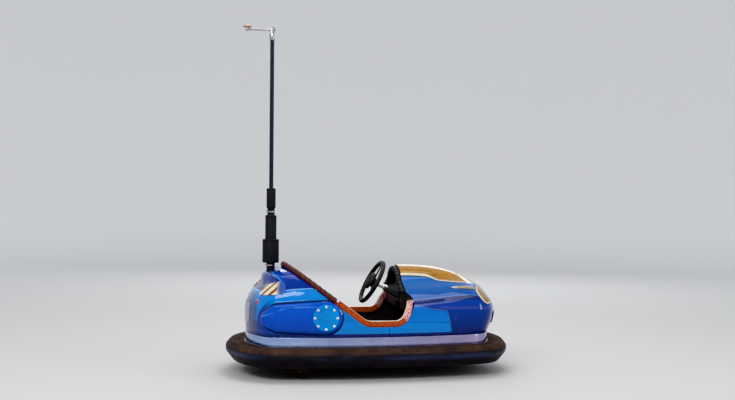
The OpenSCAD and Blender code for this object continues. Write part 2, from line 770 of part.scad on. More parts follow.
// Line of the steering column, from the joint upwards and back
module on_column(from) {
    translate([drive_x, 0, joint_z]) rotate([0, column_tilt - 90, 0]) translate([0, 0, from]) children();
}
shaft_r = 9;
sleeve_r = 16;
module dash_panel() {
    color("black")
        difference() {
            along_car(dash_x, dash_t)
                difference() {
                    cowl_outline(shell_t + 4 * seat_gap, dash_foot);
                    translate([0, dash_foot]) circle(r = 60);
                    for (side = [-1, 1])
                        translate([side > 0 ? trim_in : -car_w, 0]) square([car_w - trim_in, notch_z + 30]);
                }
            on_column(100) cylinder(r = sleeve_r + seat_gap, h = 300);
        }
}
pad_h = 34;
pad_foot = notch_z + 44;
pad_rim = [for (p = cowl_section(shell_t + 2)) if (p.y > notch_z)
    p - pad_h * (p - [0, dash_foot]) / norm(p - [0, dash_foot])];
module cowl_pad() {
    color("black")
        along_car(dash_x - pad_l, pad_l)
            difference() {
                cowl_outline(shell_t + 2, pad_foot);
                polygon(concat([[pad_h - half_w, 0], [half_w - pad_h, 0]], [for (p = pad_rim) p],
                    [for (i = [len(pad_rim) - 1 : -1 : 0]) [-pad_rim[i].x, pad_rim[i].y]]));
            }
}
flange_size = 74;
flange_plate = 4;
module column_tube() {
    dash_at = (drive_x - dash_x) / cos(column_tilt);
    color("dimgray")
        difference() {
            union() {
                on_column(dash_at - 75) cylinder(r = sleeve_r, h = 190);
                translate([dash_x - flange_plate, -flange_size / 2,
                    joint_z + dash_at * sin(column_tilt) - flange_size / 2])
                    cube([flange_plate, flange_size, flange_size]);
            }
            on_column(0) cylinder(r = shaft_r + run_gap, h = column_l);
        }
}
pad_r = 60;
module steering_shaft() {
    color("silver") {
        translate([drive_x, 0, joint_z]) sphere(r = ball_r, $fn = 48);
        on_column(0) cylinder(r = shaft_r, h = column_l - 16);
    }
}
module steering_wheel() {
    color("black")
        on_column(column_l) {
            rotate_extrude($fn = 120) translate([swheel_r, 0]) circle(r = swheel_rim, $fn = 32);
            difference() {
                union() {
                    translate([0, 0, -16]) cylinder(r = 34, h = 22);
                    for (i = [0 : 2])
                        rotate([0, 0, 120 * i]) translate([0, -13, -6]) cube([swheel_r, 26, 9]);
                }
                translate([0, 0, -30]) cylinder(r = shaft_r, h = 14);
            }
        }
}
module steering_pad() {
    color("dimgray")
        on_column(column_l + 6)
            rotate_extrude($fn = 96)
                polygon(concat([[0, 0], [pad_r - 6, 0]],
                    [for (i = [0 : 6]) [pad_r - 12, 12] + 12 * [cos(15 * i), sin(15 * i)]],
                    [[24, 30], [0, 31]]));
}

cover_t = 4;
cover_r = 118;
cover_top = joint_z - 14;
cover_turn = cover_top - 62;
cover_mouth = 46;
cover_foot = turn_ring_top + 34;
module motor_cover() {
    color("slategray")
        translate([drive_x, 0, 0])
            rotate_extrude($fn = 96)
                polygon([[turn_ring_r, turn_ring_top], [turn_ring_r, cover_foot], [cover_r, cover_turn],
                    [cover_r - 6, cover_top - 6], [cover_r - 14, cover_top], [cover_mouth, cover_top],
                    [cover_mouth, cover_top - cover_t], [cover_r - 14 - cover_t / 2, cover_top - cover_t],
                    [cover_r - 6 - cover_t, cover_top - 8], [cover_r - cover_t, cover_turn - 2],
                    [turn_ring_r - cover_t, cover_foot - 1], [turn_ring_r - cover_t, turn_ring_top]]);
}
pedal_y = -120;
module pedal() {
    color("silver")
        translate([110, pedal_y, floor_top])
            across(90)
                polygon([[0, 0], [92, 0], [104, 52], [98, 55], [12, 12], [0, 12]]);
}

module headlamps() {
    color("ivory") headlamp_places(-shell_t, 3, -0.002);
}
module grille_inserts() {
    color("black") grille_places(-2 * shell_t, -1, 0);
}
module tail_lamps() {
    color("crimson")
        tail_lamp_places() translate([0, 0, -tail_lamp_back]) cylinder(r = tail_lamp_r, h = 22);
}
tail_mid = 2 * quarter_n;
tail_reach = 1.7;
patch_t = 4;
patch_gap = 2 * seat_gap;
module tail_plate() {
    color("white")
        body_patch(tail_mid - tail_reach, tail_mid + tail_reach,
            [[0.5, 0], [0.7, 0], [1, 0], [0.35, 1]], patch_gap, patch_t);
}
vent_from = 32.6;
vent_to = 39.4;
module quarter_vents() {
    color("ivory")
        for (side = [0, 1])
            mirror([0, side, 0])
                body_patch(vent_from, vent_to,
                    [[0.6, 1], [0.65, 1], [0.85, 1], [0.98, 1]], patch_gap, patch_t);
}
bolt_r = 6;
bolt_n = 8;
module side_discs() {
    color("deepskyblue")
        for (side = [-1, 1])
            on_wall(side * disc_place[0], disc_place[2], -body_in + fender_out) {
                cylinder(r = disc_r, h = disc_t);
                for (i = [0 : bolt_n - 1])
                    rotate([0, 0, 360 * i / bolt_n]) translate([disc_r - 14, 0, 0])
                        cylinder(r = bolt_r, h = disc_t + 5);
            }
}

// Rubber sleeve round the foot of the pole: radius, height of the top of each step
sleeve_foot_r = 28;
sleeve_steps = [[sleeve_foot_r, 745], [56, 905], [38, 1068], [25, 1117], [31, 1252]];
module pole_sleeve() {
    color("dimgray")
        translate([pole_x, 0, 0])
            difference() {
                for (i = [0 : len(sleeve_steps) - 1]) {
                    foot = i == 0 ? socket_top : sleeve_steps[i - 1][1];
                    translate([0, 0, foot]) cylinder(r = sleeve_steps[i][0], h = sleeve_steps[i][1] - foot);
                }
                cylinder(r = pole_r + seat_gap, h = pole_top);
            }
}
module pole_tube() {
    color("midnightblue")
        translate([pole_x, 0, floor_top])
            difference() {
                cylinder(r = pole_r, h = pole_top - floor_top);
                translate([0, 0, 20]) cylinder(r = pole_r - 3, h = pole_top);
            }
}

pivot_z = pole_top + 36;
arm_hub_r = 20;
arm_hub_w = 15;
arm_pin_r = 4;
cheek_t = 5;
cap_r = 19;
module collector_head() {
    color("silver")
        translate([pole_x, 0, 0])
            difference() {
                union() {
                    translate([0, 0, pole_top - 34]) cylinder(r = cap_r, h = 46);
                    for (side = [-1, 1])
                        translate([0, side * (arm_hub_w / 2 + run_gap + cheek_t / 2), 0]) {
                            translate([-12, -cheek_t / 2, pole_top + 4])
                                cube([24, cheek_t, pivot_z - pole_top - 4]);
                            translate([0, 0, pivot_z]) rotate([90, 0, 0])
                                cylinder(r = 12, h = cheek_t, center = true);
                        }
                    translate([0, 0, pivot_z]) rotate([90, 0, 0])
                        cylinder(r = arm_pin_r, h = arm_hub_w + 4, center = true);
                }
                translate([0, 0, pole_top - 35]) cylinder(r = pole_r + run_gap, h = 35 + run_gap);
            }
}
module collector_arm() {
    color("silver")
        translate([pole_x, 0, pivot_z])
            difference() {
                union() {
                    rotate([90, 0, 0]) cylinder(r = arm_hub_r, h = arm_hub_w, center = true);
                    rotate([0, -90, 0]) cylinder(r = 6.5, h = arm_l);
                    translate([-arm_l, 0, -9]) cylinder(r = 12, h = 20);
                }
                rotate([90, 0, 0]) cylinder(r = arm_pin_r + run_gap, h = 4 * arm_hub_w, center = true);
            }
}
shoe_r = 32;
shoe_h = 14;
module contact_shoe() {
    color("peru")
        translate([pole_x - arm_l, 0, pivot_z + 11])
            rotate_extrude($fn = 72)
                polygon(rounded([[0, 0, 0], [14, 0, 0], [shoe_r, 5, 3], [shoe_r, 9, 3],
                    [22, shoe_h, 5], [0, shoe_h, 0]], 3));
}

chassis_frame();
frame_hoop();
floor_plate();
bumper_band();
bumper_ring();
kick_skirt();
front_body();
rear_body();
opening_trims();
seat_back_roll();
seat_base();
seat_cushion();
seat_backrest();
dash_panel();
cowl_pad();
column_tube();
pedal();
motor_cover();
headlamps();
grille_inserts();
tail_lamps();
tail_plate();
side_discs();
quarter_vents();
turntable_ring();
rear_brackets();
rear_axle();
pole_sleeve();
pole_tube();
steering_wheel();
steering_pad();
steering_shaft();
drive_turntable();
drive_fork();
drive_motor();
drive_hub();
drive_tyre();
rear_hub_left();
rear_tyre_left();
rear_hub_right();
rear_tyre_right();
collector_head();
collector_arm();
contact_shoe();
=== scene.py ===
import math
from bisect import bisect_right

import bmesh
import bpy
from mathutils import Matrix, Vector


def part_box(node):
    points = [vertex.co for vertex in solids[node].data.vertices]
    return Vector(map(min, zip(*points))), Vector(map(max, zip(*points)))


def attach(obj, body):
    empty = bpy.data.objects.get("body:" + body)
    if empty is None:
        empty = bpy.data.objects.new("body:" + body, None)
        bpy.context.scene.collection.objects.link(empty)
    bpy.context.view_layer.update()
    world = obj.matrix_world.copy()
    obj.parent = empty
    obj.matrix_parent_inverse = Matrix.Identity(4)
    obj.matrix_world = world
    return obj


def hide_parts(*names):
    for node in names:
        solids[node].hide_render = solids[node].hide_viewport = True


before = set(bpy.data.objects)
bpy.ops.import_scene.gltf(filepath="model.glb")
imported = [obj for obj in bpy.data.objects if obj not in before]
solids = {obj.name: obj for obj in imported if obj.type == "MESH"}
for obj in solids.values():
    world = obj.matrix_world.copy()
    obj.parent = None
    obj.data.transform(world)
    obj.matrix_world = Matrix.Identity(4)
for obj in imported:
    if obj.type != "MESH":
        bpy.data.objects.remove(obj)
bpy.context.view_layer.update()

# Sizes of the car, in metres

CAR_L, CAR_W = 1.95, 1.14
SIDE_R, CORNER_R, END_R = 3.6, 0.28, 0.76
BUMPER_D, BUMPER_Z, BUMPER_TOP = 0.128, 0.088, 0.218
BODY_IN, BULGE, NOSE_BULGE = 0.135, 0.008, 0.035
WAIST, SHOULDER_IN, TAIL_IN, NOSE_OUT, TAIL_LEAN = 0.425, 0.052, 0.04, 0.02, 0.03
HOOD_SHARE, DECK_SHARE, PROW = 0.9, 0.93, 0.5
SKIRT_TOP, SHELL = 0.28, 0.006
SPLIT_X = 0.06
SILL, COWL_X, SEAT_X, SLOPE_X, NOTCH_X, NOTCH_Z = 0.345, 0.205, -0.592, -0.1, 0.252, 0.52
EDGE_TOP = 0.716
TRIM_W, TRIM_RUN, TRIM_OUT, HIGHLIGHT_PART = 0.042, 0.19, 0.0004, 0.155
ROLL_R = 0.019
DRIVE_X, JOINT_Z, COLUMN_TILT, COLUMN_L = 0.43, 0.388, 29.0, 0.452
POLE_X, POLE_R, POLE_TOP = -0.676, 0.014, 2.29
REAR_X, REAR_Y, REAR_R, REAR_W = -0.5, 0.298, 0.082, 0.044
DRIVE_R, DRIVE_W = 0.1, 0.062
POD_OUT, POD_LIP = 0.02, 0.022
DISC_ANGLE, DISC_Z = 96.0, 0.412

SHOULDER_LINE = [(-0.9, 0.56), (-0.78, 0.628), (-0.64, 0.65), (-0.33, 0.64), (0.15, 0.5), (0.4, 0.515),
                 (0.64, 0.532), (0.78, 0.51), (0.9, 0.462)]
SPINE_LINE = [(-0.76, 0.64), (-0.725, 0.668), (-0.67, 0.69), (-0.59, 0.712), (0.15, 0.722), (0.23, 0.725),
              (0.35, 0.722), (0.45, 0.713), (0.565, 0.69), (0.665, 0.652), (0.72, 0.62), (0.76, 0.5925)]
# Share of the way in over the crown, and share of the rise at the hood, the nose and the deck
CROWN = [(0, 0, 0, 0), (0.1, 0.16, 0.23, 0.42), (0.24, 0.32, 0.455, 0.72), (0.42, 0.46, 0.68, 0.88),
         (0.58, 0.62, 0.83, 0.95), (0.66, 0.8, 0.875, 0.97), (0.8, 0.94, 0.937, 0.99), (1, 1, 1, 1),
         (1.2, 0.94, 1.063, 0.99)]
# Raised pod on each rear quarter: outward direction, radius, height
POD_LINE = [(96, 0.118, 0.412), (98.4, 0.112, 0.411), (100.8, 0.104, 0.409), (109, 0.093, 0.406),
            (121, 0.078, 0.402), (133, 0.061, 0.397), (144, 0.042, 0.392)]


def clamp(v, low=0.0, high=1.0):
    return max(low, min(high, v))


def ease(v):
    v = clamp(v)
    return v * v * (3 - 2 * v)


def drawn(rows, column=1):
    """A table of sizes drawn through with one fair line that doesn't overshoot."""
    xs, ys = [r[0] for r in rows], [r[column] for r in rows]
    gaps = [b - a for a, b in zip(xs, xs[1:])]
    grades = [(b - a) / g for a, b, g in zip(ys, ys[1:], gaps)]
    slopes = [grades[0]]
    for k in range(1, len(xs) - 1):
        a, b = grades[k - 1], grades[k]
        slopes.append(0 if a * b <= 0 else 3 * (gaps[k - 1] + gaps[k])
                      / ((2 * gaps[k] + gaps[k - 1]) / a + (gaps[k] + 2 * gaps[k - 1]) / b))
    slopes.append(grades[-1])

    def line(x):
        if x <= xs[0]:
            return ys[0]
        if x >= xs[-1]:
            return ys[-1]
        k = bisect_right(xs, x) - 1
        h = gaps[k]
        t = (x - xs[k]) / h
        return (ys[k] * (1 + 2 * t) * (1 - t) ** 2 + ys[k + 1] * t * t * (3 - 2 * t)
                + h * slopes[k] * t * (1 - t) ** 2 + h * slopes[k + 1] * t * t * (t - 1))
    return line


shoulder, spine = drawn(SHOULDER_LINE), drawn(SPINE_LINE)
hood_rise, nose_rise, deck_rise = (drawn(CROWN, column) for column in (1, 2, 3))

# Plan of the car

half_l, half_w = CAR_L / 2, CAR_W / 2
side_c, end_c = half_w - SIDE_R, half_l - END_R
reach_a, reach_b = SIDE_R - CORNER_R, END_R - CORNER_R
span = math.hypot(end_c, side_c)
along = (reach_a ** 2 - reach_b ** 2 + span ** 2) / (2 * span)
aside = math.sqrt(reach_a ** 2 - along ** 2)
corner_x = along / span * end_c - aside / span * side_c
corner_y = side_c - along / span * side_c - aside / span * end_c
side_a = math.degrees(math.atan2(corner_y - side_c, corner_x))
end_a = math.degrees(math.atan2(corner_y, corner_x - end_c))
END_N, CORNER_N, SIDE_N = 4, 5, 6
QUARTER = END_N + CORNER_N + SIDE_N
LOOP = 4 * QUARTER


def quarter_direction(k):
    """Direction outwards, in degrees, at step k of one quarter of the plan."""
    if k <= END_N:
        return end_a * k / END_N
    if k <= END_N + CORNER_N:
        return end_a + (side_a - end_a) * (k - END_N) / CORNER_N
    return side_a + (90 - side_a) * (k - END_N - CORNER_N) / SIDE_N


def plan_at(direction, out):
    """Point of the plan where it faces in a direction, in degrees, moved outwards."""
    turned = (direction + 180) % 360 - 180
    k = 180 - abs(turned) if abs(turned) > 90 else abs(turned)
    a = math.radians(k)
    if k <= end_a:
        x, y = end_c + (END_R + out) * math.cos(a), (END_R + out) * math.sin(a)
    elif k <= side_a:
        x, y = corner_x + (CORNER_R + out) * math.cos(a), corner_y + (CORNER_R + out) * math.sin(a)
    else:
        x, y = (SIDE_R + out) * math.cos(a), side_c + (SIDE_R + out) * math.sin(a)
    return -x if abs(turned) > 90 else x, -y if turned < 0 else y


def direction_at(step):
    step %= LOOP
    k = step % QUARTER
    return (quarter_direction(k), 180 - quarter_direction(QUARTER - k),
            180 + quarter_direction(k), 360 - quarter_direction(QUARTER - k))[int(step // QUARTER)]


def run_at(direction):
    """Length along the side wall from its middle to where it faces in a direction past 90 degrees."""
    a = direction - 90
    flat = 90 - side_a
    length = math.radians(min(a, flat)) * (SIDE_R - BODY_IN)
    if a > flat:
        length += math.radians(min(a, 90 - end_a) - flat) * (CORNER_R - BODY_IN)
    if a > 90 - end_a:
        length += math.radians(a - 90 + end_a) * (END_R - BODY_IN)
    return length


# Form of the body


def nose_share(x):
    return ease((x - 0.45) / 0.38)


def tail_share(x):
    return clamp((-x - 0.56) / 0.26)


pod_spine = [(run_at(a), drawn(POD_LINE)(a), drawn(POD_LINE, 2)(a)) for a in range(96, 145, 2)]


def pod_depth(direction, z):
    """How far inside the raised pod's outline a place on the wall lies."""
    turned = abs((direction + 180) % 360 - 180)
    if turned < 80:
        return -1.0
    run, best = run_at(turned), -1.0
    for (s0, r0, z0), (s1, r1, z1) in zip(pod_spine, pod_spine[1:]):
        t = clamp(((run - s0) * (s1 - s0) + (z - z0) * (z1 - z0)) / ((s1 - s0) ** 2 + (z1 - z0) ** 2))
        best = max(best, r0 + (r1 - r0) * t - math.hypot(run - s0 - (s1 - s0) * t, z - z0 - (z1 - z0) * t))
    return best


def wall_out(x, z, top):
    n = nose_share(x)
    bulge = BULGE + n * NOSE_BULGE
    inwards = (1 - n) * SHOULDER_IN - n * NOSE_OUT + tail_share(x) * TAIL_IN
    lean = tail_share(x) * TAIL_LEAN * (z - SKIRT_TOP)
    if z <= WAIST:
        return -BODY_IN - lean + bulge * math.sin(math.pi / 2 * clamp((z - SKIRT_TOP) / (WAIST - SKIRT_TOP)))
    return -BODY_IN - lean + bulge - (bulge + inwards) * ((z - WAIST) / (top - WAIST)) ** 2.4


def wall_point(step, share, high):
    direction = direction_at(step)
    x = plan_at(direction, -BODY_IN)[0]
    top = shoulder(x)
    z = WAIST + share * (top - WAIST) if high else SKIRT_TOP + share * (WAIST - SKIRT_TOP)
    out = wall_out(x, z, top)
    depth = pod_depth(direction, z)
    if depth > -0.02:
        out += (-BODY_IN + POD_OUT - out) * ease(depth / POD_LIP) - 0.0018 * math.exp(-(depth / 0.01) ** 2)
    return Vector((*plan_at(direction, out), z))


def body_point(step, level):
    """Point on the moulded body: level 0 to 1 is the lower wall, 1 to 2 the upper wall, 2 to 3 the crown."""
    if level <= 2:
        return wall_point(step, level if level <= 1 else level - 1, level > 1)
    share = level - 2
    edge = wall_point(step, 1, True)
    x = edge.x * (HOOD_SHARE if edge.x > 0 else DECK_SHARE)
    front, n = clamp((edge.x + 0.3) / 0.4), nose_share(plan_at(direction_at(step), -BODY_IN)[0])
    rise = front * ((1 - n) * hood_rise(share) + n * nose_rise(share)) + (1 - front) * deck_rise(share)
    z = shoulder(edge.x) * (1 - rise) + spine(x) * rise
    y = edge.y * max(0, 1 - share) ** (1 + PROW * nose_share(edge.x))
    return Vector((edge.x + (x - edge.x) * share, y, z))


def over_body(step, level, off):
    """Point off the body's surface, measured square to it."""
    here = body_point(step, level)
    a = body_point(step + 0.02, level) - body_point(step - 0.02, level)
    b = body_point(step, min(level + 0.02, 2.99)) - body_point(step, min(level + 0.02, 2.99) - 0.04)
    square = a.cross(b).normalized()
    return here + square * off


# Making pieces


def moved(x, y, z):
    return Matrix.Translation((x, y, z))


def spun(angle, axis):
    return Matrix.Rotation(angle, 4, axis)


def everything(form):
    return form.verts[:] + form.edges[:] + form.faces[:]


def face_out(form):
    bmesh.ops.recalc_face_normals(form, faces=form.faces)


def relax(form, verts, factor):
    """Smooths some points of a form once."""
    bmesh.ops.smooth_vert(form, verts=verts, factor=factor,
                          use_axis_x=True, use_axis_y=True, use_axis_z=True)


def break_edges(form, edges, width, segments=2):
    """Rounds edges by a width."""
    bmesh.ops.bevel(form, geom=edges, offset=width, offset_type="OFFSET",
                    segments=segments, profile=0.5, affect="EDGES", clamp_overlap=True, material=-1)


def full_turn(form, line, steps):
    """Takes a drawn line once round the upright axis."""
    bmesh.ops.spin(form, geom=line, cent=(0, 0, 0),
                   axis=(0, 0, 1), angle=2 * math.pi, steps=steps, use_merge=True)


def hoop(form, sides, radius, place):
    """The edges of a circle."""
    verts = bmesh.ops.create_circle(form, segments=sides, radius=radius, matrix=place)["verts"]
    return list({e for v in verts for e in v.link_edges})


def skin_over(form, rings, closed=False, caps=False):
    """Joins rings of edges into one skin, which may run back to the first ring or have its ends filled."""
    for a, b in zip(rings, rings[1:] + (rings[:1] if closed else [])):
        bmesh.ops.bridge_loops(form, edges=a + b)
    if caps:
        for ring in (rings[0], rings[-1]):
            bmesh.ops.contextual_create(form, geom=ring)


def lengths(line):
    """Length along a line up to each of its points."""
    runs = [0.0]
    for a, b in zip(line, line[1:]):
        runs.append(runs[-1] + (b - a).length)
    return runs


def as_mesh(name, form):
    mesh = bpy.data.meshes.new(name)
    form.to_mesh(mesh)
    form.free()
    return mesh


def add_object(name, data):
    thing = bpy.data.objects.new(name, data)
    bpy.context.scene.collection.objects.link(thing)
    return thing


def arc(p, q, s, radius, inset=0.0, n=8):
    """Arc that rounds the corner q between p and s, drawn in towards its centre by inset."""
    p, q, s = Vector(p), Vector(q), Vector(s)
    u, v = (p - q).normalized(), (s - q).normalized()
    half = math.acos(clamp(u.dot(v), -1, 1)) / 2
    centre = q + (u + v).normalized() * (radius / math.sin(half))
    first = q + u * (radius / math.tan(half)) - centre
    last = q + v * (radius / math.tan(half)) - centre
    a = math.atan2(first.y, first.x)
    turn = (math.atan2(last.y, last.x) - a + 3 * math.pi) % (2 * math.pi) - math.pi
    return [centre + (radius - inset) * Vector((math.cos(a + turn * k / n), math.sin(a + turn * k / n)))
            for k in range(n + 1)]


def rounded(corners, n=5, closed=True):
    """Outline through corners of (across, up, radius)."""
    points = []
    for k, (x, y, r) in enumerate(corners):
        if r > 0 and (closed or 0 < k < len(corners) - 1):
            before, after = corners[k - 1], corners[(k + 1) % len(corners)]
            points += arc(before[:2], (x, y), after[:2], r, n=n)
        else:
            points.append(Vector((x, y)))
    return points


def chain(form, points, closed=False):
    """The vertices and edges of one drawn line."""
    verts = [form.verts.new(p) for p in points]
    pairs = list(zip(verts, verts[1:])) + ([(verts[-1], verts[0])] if closed else [])
    return verts + [form.edges.new(pair) for pair in pairs]


def tidy(form, merge=1e-05):
    bmesh.ops.remove_doubles(form, verts=form.verts, dist=merge)
    bmesh.ops.dissolve_degenerate(form, edges=form.edges, dist=1e-06)
    face_out(form)
    return form


def lathe(profile, steps=48, place=Matrix(), into=None):
    """A turned form: its profile of (radius, height) goes once round the upright axis, and is then placed."""
    form = bmesh.new()
    line = chain(form, [(r, 0, z) for r, z in profile])
    full_turn(form, line, steps)
    tidy(form)
    form.transform(place)
    return gather(into, form)


def gather(into, form):
    """Adds one form to another, so that both are one piece."""
    if into is None:
        return form
    mesh = as_mesh("part", form)
    into.from_mesh(mesh)
    bpy.data.meshes.remove(mesh)
    return into


def round_the_plan(profile, steps=(44, 16, 28)):
    """A moulding round the whole car: its profile of (distance out, height) turns about the centre of each
    side, corner and end in so many steps."""
    side, corner, end = steps
    end_turn, corner_turn = math.radians(end_a), math.radians(side_a - end_a)
    side_turn = math.pi - 2 * math.radians(side_a)
    arcs = [(end_c, 0, end_turn, end // 2)]
    for way, last_turn, last_steps in ((1, 2 * end_turn, end), (-1, end_turn, end // 2)):
        arcs += [(way * corner_x, way * corner_y, corner_turn, corner), (0, way * side_c, side_turn, side),
                 (-way * corner_x, way * corner_y, corner_turn, corner),
                 (-way * end_c, 0, last_turn, last_steps)]
    form = bmesh.new()
    last = chain(form, [(half_l + out, 0, z) for out, z in profile], True)
    for x, y, turn, n in arcs:
        last = bmesh.ops.spin(form, geom=last, cent=(x, y, 0),
                              axis=(0, 0, 1), angle=turn, steps=n)["geom_last"]
    return tidy(form, 0.0002)


def bar(route, radius, sides, closed=False, into=None):
    """A round bar, tube or roll along a route. The radius may be a list, one for each point."""
    form = bmesh.new()
    count = len(route)
    radii = radius if isinstance(radius, list) else [radius] * count
    rings, up = [], None
    for k, p in enumerate(route):
        before = route[k - 1] if k or closed else route[0]
        after = route[(k + 1) % count] if k < count - 1 or closed else route[-1]
        ahead = (Vector(after) - Vector(before)).normalized()
        if up is None:
            up = ahead.orthogonal()
        up = (up - ahead * up.dot(ahead)).normalized()
        turn = Matrix((up, ahead.cross(up), ahead)).transposed().to_4x4()
        rings.append(hoop(form, sides, radii[k], Matrix.Translation(p) @ turn))
    skin_over(form, rings, closed, not closed)
    tidy(form)
    return gather(into, form)


def block(size, centre, bevel, turn=Matrix(), into=None):
    """A block with rounded edges."""
    form = bmesh.new()
    bmesh.ops.create_cube(form, size=1, matrix=Matrix.Diagonal((*size, 1)))
    break_edges(form, form.edges[:], bevel)
    form.transform(Matrix.Translation(centre) @ turn)
    return gather(into, form)


def sheet_on_body(columns, rows, off=0.0, shape=None):
    """A sheet that lies on the body: columns are steps of the plan, and rows are levels."""
    form = bmesh.new()
    nx, ny = len(columns) - 1, len(rows) - 1
    bmesh.ops.create_grid(form, x_segments=nx, y_segments=ny, size=1)
    for v in form.verts:
        a, b = round((v.co.x + 1) / 2 * nx), round((v.co.y + 1) / 2 * ny)
        step, level = columns[a], rows[b]
        if shape:
            step, level = shape(a / nx * 2 - 1, b / ny * 2 - 1)
        v.co = over_body(step, level, off) if off else body_point(step, level)
    return form


def wall_place(direction, z, out, side=1):
    """Place on the wall with its own upright axis pointing outwards."""
    x, y = plan_at(direction * side, out)
    a = math.radians(direction * side)
    outward = Vector((math.cos(a), math.sin(a), 0))
    across = Vector((-math.sin(a), math.cos(a), 0))
    return moved(x, y, z) @ Matrix((across, Vector((0, 0, 1)), outward)).transposed().to_4x4()


def on_column(distance):
    """Place on the steering column, with the upright axis along it."""
    a = math.radians(COLUMN_TILT)
    axis = Vector((-math.cos(a), 0, math.sin(a)))
    turn = Matrix((Vector((math.sin(a), 0, math.cos(a))), Vector((0, 1, 0)), axis)).transposed().to_4x4()
    return Matrix.Translation(Vector((DRIVE_X, 0, JOINT_Z)) + axis * distance) @ turn


def piece(name, form, finish, stands_for=(), body="root", crisp=35):
    """A finished form becomes a piece of the car, on the body that carries it."""
    mesh = as_mesh(name, form)
    mesh.polygons.foreach_set("use_smooth", [True] * len(mesh.polygons))
    mesh.set_sharp_from_angle(angle=math.radians(crisp))
    thing = add_object(name, mesh)
    for one in finish if isinstance(finish, (list, tuple)) else [finish]:
        mesh.materials.append(one)
    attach(thing, body)
    if stands_for:
        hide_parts(*stands_for)
    return thing


def softened_copy(node, width, angle=30):
    """The solid's own form with its edges broken, as a machined or cast piece has them."""
    form = bmesh.new()
    form.from_mesh(solids[node].data)
    tidy(form)
    bmesh.ops.dissolve_limit(form, angle_limit=math.radians(1), verts=form.verts, edges=form.edges)
    sharp = [e for e in form.edges if len(e.link_faces) == 2 and e.calc_face_angle(0) > math.radians(angle)]
    break_edges(form, sharp, width)
    return form


def softened_piece(name, node, width, finish, body="root", crisp=35):
    """A piece that is the solid's own form with its edges broken."""
    return piece(name, softened_copy(node, width), finish, [node], body, crisp)


def bolt_head(place, radius, height, into=None):
    """Hexagon head with a broken top edge and a washer under it."""
    form = lathe([(0, height * 1.25), (radius * 0.86, height * 1.25),
                  (radius, height * 1.05), (radius, height * 0.3)], 6)
    form = gather(form, lathe([(0, 0), (radius * 1.35, 0), (radius * 1.35, height * 0.2),
                               (radius * 1.25, height * 0.3), (0, height * 0.3)], 20))
    form.transform(place)
    return gather(into, form)


def dome_head(place, radius, height, into=None, steps=14):
    """Round rivet or screw head."""
    profile = ([(0, height)] + [(radius * math.sin(a), height * math.cos(a)) for a in (0.5, 0.95, 1.3)]
               + [(radius, 0)])
    return lathe(profile, steps, place, into)


# Finishes

DUST = 0.19, 0.13, 0.085


